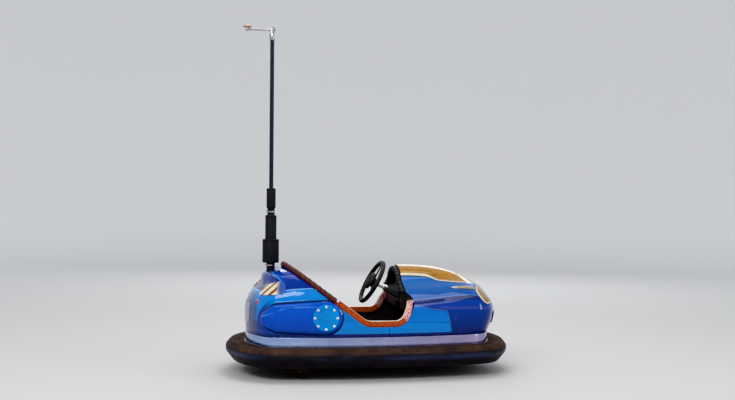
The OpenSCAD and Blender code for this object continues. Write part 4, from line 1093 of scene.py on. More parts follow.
def wall_y(x, z):
    """How far out the body's wall lies at a place along the car and a height."""
    z = min(z, shoulder(x))
    out = wall_out(x, z, shoulder(x))
    return side_c + math.sqrt(max(0, (SIDE_R + out) ** 2 - x * x)) if abs(x) < 0.7 else half_w - BODY_IN


def trim_finish():
    """Red-orange moulding with cream edges and a running row of lozenges; the front end is painted pinkish
    white as a highlight.
    """
    net = finish("red_trim", Coat_Weight=0.6, Coat_Roughness=0.12, Coat_IOR=1.4, Specular_IOR_Level=0.12)
    run, lane = net.drawn("run"), net.drawn("lane")
    beat = net.reckon("ABSOLUTE", net.less(net.reckon("FRACT", net.reckon("DIVIDE", run, 0.052)), 0.5))
    off = net.reckon("ABSOLUTE", net.less(lane, 0.5))
    lozenge = net.plus(net.times(beat, 1.05), net.times(off, 1.45))
    drip = net.spread(net.noise(60, 3, 0.5), 0.3, 0.7, -0.02, 0.02)
    lozenge = net.plus(lozenge, drip)
    # Painted highlight: the front end of the moulding is pinkish white.
    front = net.above(net.plus(run, net.times(drip, 0.5)), HIGHLIGHT_START, 0.012)
    ground = net.mix(net.patches(18, 4), (0.3, 0.014, 0.005), (0.44, 0.032, 0.008))
    ground = net.mix(front, ground, (0.72, 0.42, 0.44))
    ornament = net.mix(front, (0.4, 0.125, 0.018), (0.5, 0.04, 0.03))
    inner = net.mix(front, (0.42, 0.018, 0.012), (0.8, 0.7, 0.68))
    tone = net.mix(net.above(lozenge, 0.46, 0.012), ornament, ground)
    tone = net.mix(net.above(lozenge, 0.24, 0.012), inner, tone)
    dots = net.plus(net.times(net.less(0.5, beat), 1.6),
                    net.times(net.reckon("ABSOLUTE", net.less(off, 0.27)), 2.2))
    tone = net.mix(net.rest(net.above(dots, 0.11, 0.012)), tone, (0.52, 0.36, 0.24))
    tone = net.mix(net.above(off, 0.435, 0.006), tone, CREAM)
    tone = net.mix(net.line(off, 0.405, 0.016, 0.006), tone, (0.07, 0.02, 0.012))
    worn = net.above(net.noise(55, 5, 0.7, warp=0.3), 0.66, 0.03)
    tone = net.mix(worn, tone, (0.32, 0.22, 0.17), 0.5)
    mask = net.dusty(tone, 0.3, 0.5, 0.25, 0.4)
    net.give("Roughness", net.spread(net.plus(net.noise(40, 4), mask), 0.3, 1.1, 0.26, 0.6))
    net.skin(net.less(net.noise(200, 2), worn), 0.00025)
    return net.made


def opening_line(inset):
    """Side view of the opening's edge from high on the seat's slope to the notch, drawn in by inset."""
    up = (Vector(OPENING[0]) - Vector(OPENING[1])).normalized()
    first, turn, last = opening_bends((16, 12, 6), inset)
    lead = [first[0] + up * TRIM_RUN * (1 - k / 12) for k in range(12)]
    flat = [first[-1].lerp(turn[0], k / 10) for k in range(1, 10)]
    last = last[:4]
    rise = [turn[-1].lerp(last[0], k / 4) for k in range(1, 4)]
    return lead + first + flat + turn + rise + last


# How far out from the middle of the car the moulding may reach
SIDE_REACH = 0.4478


def side_moulding():
    """A rolled moulding on the edge of each side opening: its section travels along the edge."""
    whole = bmesh.new()
    outer, inner = opening_line(TRIM_OUT), opening_line(TRIM_W)
    profile = rounded([(0, -0.04, 0.006), (0, 0, 0.007), (TRIM_W, 0, 0.012), (TRIM_W, -0.04, 0.012)], 5)
    for side in (-1, 1):
        form = bmesh.new()
        lane, run = form.verts.layers.float.new("lane"), form.verts.layers.float.new("run")
        rings = []
        for a, b, r in zip(outer, inner, lengths(outer)):
            edge_y = min(wall_y(a.x, a.y), wall_y(a.x, b.y)) + 0.003
            verts = []
            for p in profile:
                spot = a.lerp(b, p.x / TRIM_W)
                y = min(edge_y + p.y + 0.0022 * math.sin(math.pi * p.x / TRIM_W), SIDE_REACH)
                v = form.verts.new((spot.x, side * y, spot.y))
                v[lane], v[run] = p.x / TRIM_W, r
                verts.append(v)
            rings.append([form.edges.new(pair) for pair in zip(verts, verts[1:] + verts[:1])])
        skin_over(form, rings, caps=True)
        face_out(form)
        whole = gather(whole, form)
    return whole


HIGHLIGHT_START = lengths(opening_line(TRIM_OUT))[-1] - HIGHLIGHT_PART
piece("side_mouldings", side_moulding(), trim_finish(), ["opening_trims"], crisp=50)

# Strips behind the joint between the front and the rear moulding, under the openings
joint = bmesh.new()
for side in (-1, 1):
    strip = bmesh.new()
    bmesh.ops.create_grid(strip, x_segments=2, y_segments=8, size=1)
    for v in strip.verts:
        x, z = SPLIT_X + 0.016 * v.co.x, (SKIRT_TOP + SILL) / 2 + 0.0322 * v.co.y
        v.co = x, side * (wall_y(x, z) - SHELL - 0.0004), z
    face_out(strip)
    if strip.faces[:][0].normal.y * side < 0:
        bmesh.ops.reverse_faces(strip, faces=strip.faces)
    bmesh.ops.solidify(strip, geom=strip.faces[:], thickness=0.003)
    face_out(strip)
    joint = gather(joint, strip)
piece("joint_strips", joint, raw_laminate, crisp=40)

# Padding

PRESSURE, CLOTH_FRAMES = 4.0, 20


def meshed(thing):
    """The shape of a piece with its modifiers, as a new mesh."""
    bpy.context.view_layer.update()
    return bpy.data.meshes.new_from_object(thing.evaluated_get(bpy.context.evaluated_depsgraph_get()))


def stuffed(form, grid, swell, pinned=None):
    """Fills a closed form like upholstery: remeshed, blown up as cloth by at most swell, then refined."""
    thing = add_object("stuffing", as_mesh("stuffing", form))
    skin = thing.modifiers.new("skin", "REMESH")
    skin.mode, skin.voxel_size = "VOXEL", grid
    thing.data = meshed(thing)
    thing.modifiers.clear()
    rest = [v.co.copy() for v in thing.data.vertices]
    cloth = thing.modifiers.new("cloth", "CLOTH")
    cloth.settings.quality = 4
    cloth.settings.use_pressure = True
    cloth.settings.uniform_pressure_force = PRESSURE
    cloth.settings.effector_weights.gravity = 0
    cloth.point_cache.frame_end = CLOTH_FRAMES
    for k in range(1, CLOTH_FRAMES + 1):
        bpy.context.scene.frame_set(k)
    thing.data = meshed(thing)
    thing.modifiers.clear()
    bpy.context.scene.frame_set(1)
    for v, was in zip(thing.data.vertices, rest):
        move = v.co - was
        if move.length > swell:
            v.co = was + move * (swell / move.length)
        if pinned:
            v.co = v.co.lerp(was, pinned(was))
    finer = thing.modifiers.new("finer", "SUBSURF")
    finer.levels = finer.render_levels = 1
    result = bmesh.new()
    result.from_mesh(meshed(thing))
    bpy.data.objects.remove(thing)
    return result


def press_in(form, depth_at):
    """Draws seams into padding: every point sinks along its normal by what depth_at says."""
    form.normal_update()
    moves = [(v, v.normal * -depth_at(v.co, v.normal)) for v in form.verts]
    for v, move in moves:
        v.co += move


def groove(distance, half, depth):
    return depth * math.exp(-(distance / half) ** 2)


def sewn(name, form, seams, smoothing, low, high, finish, node):
    """A stuffed form with its seams drawn in, kept between two corners of a box."""
    press_in(form, seams)
    relax(form, form.verts, smoothing)
    for v in form.verts:
        v.co = tuple(clamp(c, a, b) for c, a, b in zip(v.co, low, high))
    return piece(name, form, finish, [node], crisp=180)


maroon = upholstery("maroon_vinyl", (0.105, 0.024, 0.014), (0.2, 0.085, 0.05))
seat_vinyl = upholstery("seat_vinyl", (0.135, 0.022, 0.016), (0.24, 0.1, 0.07))
black_vinyl = upholstery("black_vinyl", (0.011, 0.011, 0.012), (0.035, 0.034, 0.035), 0.42)
piping = moulded("piping", (0.02, 0.012, 0.012), 0.35, grain_scale=800)


def roll_route():
    """Line of the padded roll over the seat back, from one side's slope over the top to the other."""
    direction = (Vector(OPENING[0]) - Vector(OPENING[1])).normalized()
    off = Vector((direction.y, -direction.x)) * (ROLL_R + 0.0006)
    start = BENDS[0] / math.tan(math.acos(clamp(direction.x, -1, 1)) / 2) + TRIM_RUN + ROLL_R + 0.0003
    low = SILL + start * direction.y
    inward = drawn([(0, 0), (0.48, 0), (0.62, 0.08), (0.75, 0.28), (0.88, 0.62), (1, 1)])
    points = []
    for k in range(91):
        z = low + (EDGE_TOP - low) * (1 - (1 - k / 90) ** 1.6)
        x = SEAT_X + (EDGE_TOP - z) / (EDGE_TOP - SILL) * (SLOPE_X - SEAT_X)
        top = shoulder(x)
        y = side_c + math.sqrt((SIDE_R + wall_out(x, min(z, top), top) - SHELL / 2) ** 2 - x * x)
        points.append(Vector((x + off.x, y * (1 - inward(k / 90)), z + off.y)))
    return [Vector((p.x, -p.y, p.z)) for p in points] + points[-2::-1]


def evenly(line, n):
    """The same line with n equal steps, and its length."""
    runs, places = lengths(line), []
    for k in range(n + 1):
        want = runs[-1] * k / n
        j = min(bisect_right(runs, want), len(runs) - 1)
        places.append(line[j - 1].lerp(line[j], (want - runs[j - 1]) / max(1e-09, runs[j] - runs[j - 1])))
    return places, runs[-1]


roll_line, roll_length = evenly(roll_route(), 520)
radii = []
for k in range(521):
    place = roll_length * k / 520
    ends = min(place, roll_length - place)
    puff = abs(math.sin(math.pi * place / roll_length * 30)) ** 0.4
    radii.append((ROLL_R - 0.0048 + 0.0045 * puff) * min(1, 0.35 + (ends / 0.014) ** 0.5))
piece("seat_back_padding", bar(roll_line, radii, 28),
                maroon, ["seat_back_roll"], crisp=60)


def flat_block(corners, low, high, bevel):
    """A side view (place along the car, height, radius) given a width across the car."""
    form = bmesh.new()
    outline = [form.verts.new((p.x, low, p.y)) for p in rounded(corners, 6)]
    face = form.faces.new(outline)
    far = bmesh.ops.extrude_face_region(form, geom=[face])["geom"]
    bmesh.ops.translate(form, verts=[g for g in far if isinstance(g, bmesh.types.BMVert)],
                        vec=(0, high - low, 0))
    tidy(form)
    rim = [e for e in form.edges if any(all(abs(v.co.y - y) < 1e-06 for v in e.verts) for y in (low, high))]
    break_edges(form, rim, bevel, 3)
    return form


# Seat cushion: swollen between its edges, five sewn channels across each place, a seam round the top
CUSHION_BACK, CUSHION_FRONT, CUSHION_TOP, CUSHION_HALF, BASE_TOP = -0.498, -0.153, 0.412, 0.362, 0.3
cushion = flat_block([(CUSHION_BACK + 0.006, BASE_TOP + 0.002, 0.006),
                      (CUSHION_FRONT - 0.006, BASE_TOP + 0.002, 0.014),
                      (CUSHION_FRONT - 0.007, CUSHION_TOP - 0.022, 0.036),
                      (CUSHION_BACK + 0.006, CUSHION_TOP - 0.028, 0.02)], -CUSHION_HALF, CUSHION_HALF, 0.014)
cushion = stuffed(cushion, 0.0062, 0.015, pinned=lambda p: 1.0 if p.z < BASE_TOP + 0.012 else 0.0)


def cushion_seams(p, n):
    up = ease((n.z - 0.1) / 0.5) * ease((p.z - 0.34) / 0.03)
    lane = min(abs(abs(p.y) - y) for y in (0.06, 0.12, 0.18, 0.24, 0.3))
    fade = ease((0.335 - abs(p.y)) / 0.02) * ease((p.x - CUSHION_BACK - 0.03) / 0.02)
    middle = groove(abs(p.y), 0.009, 0.012) * up
    front = groove(p.z - 0.352, 0.005, 0.0035) if n.x > 0.3 or abs(n.y) > 0.6 else 0
    return max(groove(lane, 0.0075, 0.0075) * up * fade, middle, front)


sewn("seat_cushion_padding", cushion, cushion_seams, 0.35,
               (CUSHION_BACK + 0.0005, -0.37, BASE_TOP + 0.0004), (CUSHION_FRONT, 0.37, CUSHION_TOP + 0.004),
               seat_vinyl, "seat_cushion")
front_line = [Vector((CUSHION_FRONT - 0.004 - 0.004 * (abs(y) / 0.35) ** 6, y, 0.353))
              for y in [0.345 * (k / 20 - 1) for k in range(41)]]
piece("seat_cushion_piping", bar(front_line, 0.0032, 8), piping)

# Backrest: upright channels, with a sewn border
BACK_HALF, TAPER_Z = 0.343, 0.53
back = flat_block([(-0.584, BASE_TOP + 0.004, 0.01), (-0.507, BASE_TOP + 0.004, 0.01),
                   (-0.534, 0.664, 0.022), (-0.572, 0.66, 0.012), (-0.584, 0.43, 0.04)],
                  -BACK_HALF, BACK_HALF, 0.01)
for k in (0.36, 0.42, 0.48, 0.53, 0.56, 0.59, 0.62, 0.645):
    bmesh.ops.bisect_plane(back, geom=everything(back), plane_co=(0, 0, k), plane_no=(0, 0, 1))
for v in back.verts:
    limit = BACK_HALF if v.co.z < TAPER_Z else BACK_HALF - 0.1 * ((v.co.z - TAPER_Z) / 0.135) ** 1.6
    v.co.y = clamp(v.co.y, -limit, limit)
tidy(back)
back = stuffed(back, 0.0062, 0.01, pinned=lambda p: ease((-0.565 - p.x) / 0.012) if p.x < -0.565 else 0.0)


def back_seams(p, n):
    forward = ease((n.x - 0.2) / 0.5)
    lane = min(abs(abs(p.y) - y) for y in (0.03, 0.09, 0.15, 0.21, 0.27))
    fade = ease((p.z - 0.42) / 0.02) * ease((0.625 - p.z) / 0.02) * ease((0.3 - abs(p.y)) / 0.02)
    border = min(abs(p.z - 0.628), abs(p.z - 0.417)) if abs(p.y) < 0.3 else 1
    return max(groove(lane, 0.0075, 0.007) * forward * fade, groove(border, 0.0055, 0.005) * forward)


sewn("backrest_padding", back, back_seams, 0.35, (-0.589, -0.352, BASE_TOP + 0.0004),
               (-0.4995, 0.352, 0.673), seat_vinyl, "seat_backrest")

# Padded edge under the cowl: the solid's own arch, stuffed and stitched
PAD_FRONT = 0.194
pad = bmesh.new()
pad.from_mesh(solids["cowl_pad"].data)
tidy(pad)
for v in pad.verts:
    v.co.x = PAD_FRONT + (v.co.x - PAD_FRONT) * 0.84
pad = stuffed(pad, 0.0055, 0.006)


def pad_seams(p, n):
    around = math.atan2(p.z - 0.5, p.y) * 0.18
    lane = abs((around / 0.034 + 0.5) % 1 - 0.5) * 0.034
    return groove(lane, 0.005, 0.0042) + groove(p.x - 0.205, 0.003, 0.002)


pad_low, pad_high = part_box("cowl_pad")
sewn("cowl_padding", pad, pad_seams, 0.4, [c - 0.001 for c in pad_low],
               [c + 0.001 for c in pad_high], black_vinyl, "cowl_pad")

# Steering

wheel_grip = moulded("wheel_rubber", (0.0075, 0.0075, 0.008),
                     0.38, grain=0.0003, grain_scale=620, scratch=0.5)
pad_rubber = moulded("pad_rubber", (0.018, 0.018, 0.02), 0.42, grain=0.0003, grain_scale=520)
machined = bare_metal("machined_steel", (0.34, 0.34, 0.35),
                      (0.55, 0.55, 0.56), (0.25, 0.5), (1, 1, 6), 0.6, 0.3)
RIM_R, RIM = 0.15, 0.015
ACROSS = Matrix(((0, 0, 1, 0), (1, 0, 0, 0), (0, 1, 0, 0), (0, 0, 0, 1)))

rim_line, rim_radii = [], []
for k in range(144):
    a = 2 * math.pi * k / 144
    rim_line.append(Vector((RIM_R * math.cos(a), RIM_R * math.sin(a), 0)))
    finger = abs(math.sin(a * 18)) ** 0.5
    rim_radii.append(RIM - 0.0013 + 0.0013 * finger)
wheel = bar(rim_line, rim_radii, 20, closed=True)
for k in range(3):
    spoke = bmesh.new()
    stations = [(0.028, 0.02, 0.0058, -0.0015), (0.05, 0.0148, 0.0048, -0.0022),
                (0.09, 0.012, 0.0042, -0.0018), (0.122, 0.0128, 0.0044, -0.0006), (0.141, 0.0165, 0.0056, 0)]
    rings = []
    for r, wide, thick, z in stations:
        rings.append(hoop(spoke, 20, 1, moved(r, 0, z - 0.0012)
                          @ ACROSS @ Matrix.Diagonal((wide, thick, 1, 1))))
    skin_over(spoke, rings)
    tidy(spoke)
    spoke.transform(spun(math.radians(120 * k), "Z"))
    wheel = gather(wheel, spoke)
hub = rounded([(0.0095, -0.016, 0), (0.034, -0.016, 0.003), (0.036, 0.0055, 0.004), (0, 0.0058, 0)],
              3, closed=False)
wheel = lathe(hub, 48, into=wheel)
wheel.transform(on_column(COLUMN_L))
piece("steering_wheel_rim", wheel, wheel_grip, ["steering_wheel"], "steering", crisp=45)

boss_line = rounded([(0.0, 0.0002, 0), (0.052, 0.0002, 0), (0.0598, 0.004, 0.004), (0.0595, 0.016, 0.008),
                     (0.048, 0.0245, 0.008), (0.024, 0.03, 0.006), (0, 0.031, 0)], 4, closed=False)
boss = lathe(boss_line, 96)
for v in boss.verts:
    r = math.hypot(v.co.x, v.co.y)
    if v.co.z > 0.006 and 0.018 < r < 0.056:
        a = math.atan2(v.co.y, v.co.x)
        v.co.z -= (0.0028 * groove(a * 8 / math.pi % 1 - 0.5, 0.13, 1.0)
                   * ease((r - 0.018) / 0.01) * ease((0.057 - r) / 0.006))
    v.co.z -= groove(r - 0.0185, 0.0013, 0.0016) if v.co.z > 0.01 else 0
boss.transform(on_column(COLUMN_L + 0.006))
piece("steering_boss_pad", boss, pad_rubber, ["steering_pad"], "steering", crisp=60)
softened_piece("steering_shaft_turned", "steering_shaft", 0.0006, machined, "steering")

# Cockpit fittings

black_plastic = moulded("black_plastic", (0.011, 0.011, 0.012),
                        0.5, grain=0.0005, grain_scale=320, dust=0.35)
box_plastic = moulded("seat_box", (0.032, 0.03, 0.031), 0.6, grain=0.0006, grain_scale=260, dust=0.5)
cover_plastic = moulded("cover_plastic", (0.02, 0.02, 0.023), 0.45, grain=0.0005, grain_scale=300, dust=0.5)
cast_pedal = bare_metal("cast_pedal", (0.3, 0.3, 0.31),
                        (0.52, 0.52, 0.53), (0.3, 0.6), dust=0.5, skin=0.0003)
zinc = bare_metal("zinc_screws", (0.3, 0.29, 0.27), (0.48, 0.47, 0.44), (0.25, 0.5))

DASH_X = 0.219
dash = softened_copy("dash_panel", 0.0012)
for y, z in ((0.1, 0.655), (0.25, 0.585), (0.33, 0.47), (0.18, 0.445)):
    for side in (-1, 1):
        dash = dome_head(moved(DASH_X, y * side, z) @ spun(-math.pi / 2, "Y"), 0.0055, 0.0022, dash)
piece("dash_board", dash, black_plastic, ["dash_panel"], crisp=30)

column = softened_copy("column_tube", 0.0012)
dash_at = (DRIVE_X - DASH_X) / math.cos(math.radians(COLUMN_TILT))
plate_z = JOINT_Z + dash_at * math.sin(math.radians(COLUMN_TILT))
for y in (-0.028, 0.028):
    for z in (-0.028, 0.028):
        column = bolt_head(moved(0.215, y, plate_z + z) @ spun(-math.pi / 2, "Y"), 0.0055, 0.0045, column)
piece("column_sleeve", column, frame_steel, ["column_tube"], crisp=35)

softened_piece("seat_box", "seat_base", 0.003, box_plastic)
trim_strip = bmesh.new()
for z in (0.172, 0.286):
    trim_strip = block((0.0016, 0.7, 0.014), (-0.164, 0, z), 0.0006, into=trim_strip)
    for y in [0.33 * (k / 4 - 1) for k in range(9)]:
        trim_strip = dome_head(moved(-0.1632, y, z) @ spun(math.pi / 2, "Y"), 0.0036, 0.0016, trim_strip, 10)
piece("seat_box_strips", trim_strip, zinc)

softened_piece("pedal_casting", "pedal", 0.0015, cast_pedal)
PEDAL_RUN, PEDAL_RISE = 0.086, 0.043
grip = bmesh.new()
for k in range(7):
    t = (k + 0.7) / 7.6
    spot = 0.122 + PEDAL_RUN * t, -0.12, 0.157 + PEDAL_RISE * t
    grip = block((0.0055, 0.078, 0.0035), spot, 0.001,
                 spun(-math.atan2(PEDAL_RISE, PEDAL_RUN), "Y"), into=grip)
piece("pedal_ribs", grip, pad_rubber)

COVER_R, FLUTES_LOW, FLUTES_HIGH = 0.2058, 0.215, 0.3
cover_line = rounded([(COVER_R, 0.1702, 0), (COVER_R, 0.202, 0.008), (0.1195, 0.309, 0.02),
                      (0.1125, 0.366, 0.012), (0.1035, 0.3738, 0.006),
                      (0.046, 0.3738, 0.002), (0.046, 0.3702, 0)], 5, closed=False)
cover = lathe(cover_line, 96)
for v in cover.verts:
    if FLUTES_LOW < v.co.z < FLUTES_HIGH:
        a = math.atan2(v.co.y, v.co.x)
        depth = (groove(a * 9 / math.pi % 1 - 0.5, 0.16, 0.0022)
                 * ease((v.co.z - FLUTES_LOW) / 0.02) * ease((FLUTES_HIGH - v.co.z) / 0.02))
        v.co.x *= 1 - depth / 0.15
        v.co.y *= 1 - depth / 0.15
cover.transform(moved(DRIVE_X, 0, 0))
face_out(cover)
shell = piece("motor_cover_moulding", cover, cover_plastic, ["motor_cover"], crisp=35)
wall = shell.modifiers.new("wall", "SOLIDIFY")
wall.thickness, wall.offset = 0.0032, -1

screws = bmesh.new()
for k in range(12):
    a = math.radians(15 + 30 * k)
    spot = (moved(DRIVE_X + COVER_R * math.cos(a), COVER_R * math.sin(a), 0.186)
            @ spun(a, "Z") @ spun(math.pi / 2, "Y"))
    screws = dome_head(spot, 0.0045, 0.0022, screws)
piece("cover_screws", screws, zinc)

# Ribbed rubber mat on each side of the footwell, cut round the drive unit's cover
MAT_HALF, MAT_BACK, MAT_GAP, RIBS = 0.372, 0.135, 0.224, 26
mat = bmesh.new()
for k in range(RIBS):
    y = MAT_HALF * (2 * k / (RIBS - 1) - 1)
    gap = math.sqrt(max(0, MAT_GAP ** 2 - y * y))
    end = DRIVE_X - gap if gap else 0.6 - 0.18 * (abs(y) / MAT_HALF) ** 4
    if not -0.175 < y < -0.065:
        mat = block((end + MAT_BACK, 0.011, 0.0035), ((end - MAT_BACK) / 2 - 0.005, y, 0.1478),
                    0.0012, into=mat)
mat_rubber = moulded("mat_rubber", (0.012, 0.012, 0.013), 0.65, grain=0.0004, grain_scale=400, dust=0.9)
piece("floor_mat_ribs", mat, mat_rubber)

# Lamps, plates and discs on the body


def mirrored(form):
    """The same form on both sides of the car."""
    bmesh.ops.mirror(form, geom=everything(form), matrix=Matrix(),
                     merge_dist=0, axis="Y", mirror_u=False, mirror_v=False)
    face_out(form)
    return form


def plate_on_body(across, up, low, high, shape):
    """A closed plate between two distances off the body, of so many faces across and up."""
    form = bmesh.new()
    for off in (high, low):
        layer = sheet_on_body(range(across + 1), range(up + 1), off, shape)
        bmesh.ops.remove_doubles(layer, verts=layer.verts, dist=1e-06)
        form = gather(form, layer)
    rims = [e for e in form.edges if e.is_boundary]
    bmesh.ops.bridge_loops(form, edges=rims)
    face_out(form)
    rim = [e for e in form.edges if len(e.link_faces) == 2 and e.calc_face_angle(0) > math.radians(55)]
    break_edges(form, rim, (high - low) * 0.28)
    return form


def lens_shape(grow=0.0):
    def shape(s, t):
        wide = (1 - abs(s) ** (3.5 if s > 0 else 2.0)) ** 0.5
        return 8.65 + (1.45 + grow) * s, 2.2075 + 0.012 * s + (0.04 + grow * 0.09) * t * max(wide, 0.03)
    return shape


net = finish("lamp_lens", Coat_Weight=1.0, Coat_Roughness=0.03, Coat_IOR=1.4, Specular_IOR_Level=0.05)
flute = net.above(net.reckon("FRACT", net.times(net.axis("X"), 110)), 0.5, 0.3)
tone = net.mix(net.patches(30, 3), (0.24, 0.18, 0.13), (0.4, 0.32, 0.25))
# Painted highlight: the lens is lighter towards its rear end.
tone = net.mix(net.above(net.less(0.575, net.axis("X")), 0, 0.008), tone, (0.48, 0.44, 0.46))
net.give("Base Color", net.mix(flute, tone, (0.35, 0.3, 0.22), 0.14))
net.give("Roughness", net.spread(net.noise(60, 3), 0.3, 0.7, 0.12, 0.26))
net.skin(flute, 0.0006)
lamp_glass = net.made
dark_rim = moulded("dark_rim", (0.006, 0.014, 0.05), 0.3, coat=0.6, grain=0.0001)
lamps = mirrored(plate_on_body(48, 8, -0.001, 0.0036, lens_shape()))
piece("headlamp_lenses", lamps, lamp_glass, ["headlamps"], crisp=50)
piece("headlamp_rims", mirrored(plate_on_body(48, 8, -0.001, 0.0018, lens_shape(0.07))),
      dark_rim, crisp=50)


def soft_square(step, half_step, level, half_level, corner=0.3):
    def shape(s, t):
        return (step + half_step * s * math.sqrt(1 - corner * t * t * 0.5),
                level + half_level * t * math.sqrt(1 - corner * s * s * 0.5))
    return shape


grille = mirrored(plate_on_body(24, 14, -0.001, 0.001, soft_square(2.0, 0.9, 0.665, 0.265)))
for k in range(6):
    level = 0.45 + 0.086 * k
    slat = soft_square(2.0, 0.8, level, 0.018, 0.1)
    grille = gather(grille, mirrored(plate_on_body(24, 2, 0.0012, 0.0052, slat)))
for step, half_step, level, half in ((2.0, 0.9, 0.416, 0.014), (2.0, 0.9, 0.916, 0.014),
                                     (1.115, 0.045, 0.665, 0.25), (2.885, 0.045, 0.665, 0.25),
                                     (2.0, 0.03, 0.665, 0.25)):
    edge = soft_square(step, half_step, level, half, 0.05)
    grille = gather(grille, mirrored(plate_on_body(16, 8, 0.0, 0.0062, edge)))
piece("nose_grilles", grille, black_plastic, ["grille_inserts"], crisp=40)

net = finish("tail_lens", Coat_Weight=1.0, Coat_Roughness=0.04)
net.give("Base Color", net.mix(net.patches(50, 3), (0.42, 0.012, 0.008), (0.68, 0.03, 0.014)))
net.give("Roughness", net.spread(net.noise(90, 3), 0.3, 0.7, 0.1, 0.22))
net.skin(net.noise(220, 1), 0.0004)
lens_red = net.made
rings, lenses = bmesh.new(), bmesh.new()
for side in (-1, 1):
    spot = wall_place(160, 0.5, -BODY_IN, side) @ moved(0, 0, -0.025)
    profile = [(0, 0.022), (0.006, 0.0218), (0.0075, 0.0205), (0.009, 0.0215), (0.0115, 0.021),
               (0.013, 0.0195), (0.0145, 0.0198), (0.0162, 0.0165), (0.0165, 0)]
    lenses = lathe(profile, 40, spot, lenses)
    rim = rounded([(0.0163, 0.0, 0), (0.0163, 0.018, 0.0006),
                   (0.0186, 0.0182, 0.001), (0.019, 0.012, 0.001), (0.019, 0.0, 0)], 3, closed=False)
    rings = lathe(rim, 40, spot, rings)
    marker = wall_place(160, 0.536, wall_out(-0.82, 0.536, shoulder(-0.82)), side) @ moved(0, 0, -0.001)
    rings = lathe([(0, 0.0072), (0.0035, 0.0068), (0.0062, 0.005),
                   (0.0074, 0.0022), (0.01, 0.0016), (0.0106, 0)], 24, marker, rings)
piece("tail_lamp_lenses", lenses, lens_red, ["tail_lamps"], crisp=35)
piece("tail_lamp_rings", rings, machined, crisp=35)

net = finish("white_plate", Coat_Weight=0.8, Coat_Roughness=0.08)
# Painted shade: the white plate is given a dim grey-lilac.
tone = net.mix(net.patches(12, 5, 0.6), (0.17, 0.18, 0.29), (0.27, 0.28, 0.4))
mask = net.dusty(tone, 0.33, 0.5, 0.4, 0.2)
net.give("Roughness", net.spread(net.plus(net.noise(40, 4), mask), 0.3, 1.1, 0.2, 0.55))
net.skin(net.noise(160, 2), 0.0002)
white = net.made
tail = plate_on_body(28, 22, 0.0003, 0.0038, soft_square(30, 1.66, 0.925, 0.415, 0.22))
piece("tail_plate_blank", tail, white, ["tail_plate"], crisp=40)
plate_screws = bmesh.new()
for step in (28.65, 31.35):
    for level in (0.62, 1.24):
        at, out = over_body(step, level, 0.0036), over_body(step, level, 0.02)
        turn = (out - at).to_track_quat("Z", "Y").to_matrix().to_4x4()
        plate_screws = dome_head(Matrix.Translation(at) @ turn, 0.0052, 0.002, plate_screws)
piece("tail_plate_screws", plate_screws, zinc)


def striped_finish():
    """Cream panel with slanted brown stripes and a pale front end."""
    net = finish("striped_panel", Coat_Weight=0.9, Coat_Roughness=0.05,
                 Coat_IOR=1.4, Specular_IOR_Level=0.08)
    slant, reach = net.drawn("slant"), net.drawn("reach")
    beat = net.reckon("FRACT", net.reckon("DIVIDE", slant, 0.062))
    tone = net.mix(net.patches(15, 4), (0.62, 0.5, 0.33), (0.82, 0.72, 0.52))
    stripe = net.line(beat, 0.5, 0.2, 0.012)
    stripe = net.times(stripe, net.rest(net.above(reach, 0.78, 0.01)))
    tone = net.mix(stripe, tone, net.mix(net.noise(30, 3), (0.15, 0.055, 0.018), (0.27, 0.11, 0.03)))
    tone = net.mix(net.above(reach, 0.78, 0.06), tone, (0.045, 0.1, 0.36))
    net.give("Base Color", tone)
    net.give("Roughness", net.spread(net.noise(40, 4), 0.3, 0.7, 0.16, 0.34))
    net.skin(net.less(net.noise(160, 2), stripe), 0.0003)
    return net.made


def panel_shape(s, t):
    wide = math.sqrt(1 - 0.16 * t * t * 0.5)
    return 36.0 + 3.36 * s * wide, 1.79 + 0.185 * t * math.sqrt(1 - 0.2 * s * s * 0.5)


panel = bmesh.new()
for off in (0.0042, 0.0006):
    panel = gather(panel, sheet_on_body(range(65), range(19), off, panel_shape))
bmesh.ops.bridge_loops(panel, edges=[e for e in panel.edges if e.is_boundary])
face_out(panel)
slant, reach = (panel.verts.layers.float.new(n) for n in ("slant", "reach"))
for v in panel.verts:
    run = math.hypot(v.co.x + 0.61, abs(v.co.y) - 0.35) if v.co.x < -0.61 else 0
    v[slant] = run + (v.co.z - 0.58) * 1.15
    v[reach] = clamp(1 - run / 0.3)
panel = mirrored(panel)
piece("quarter_panels", panel, striped_finish(), ["quarter_vents"], crisp=40)

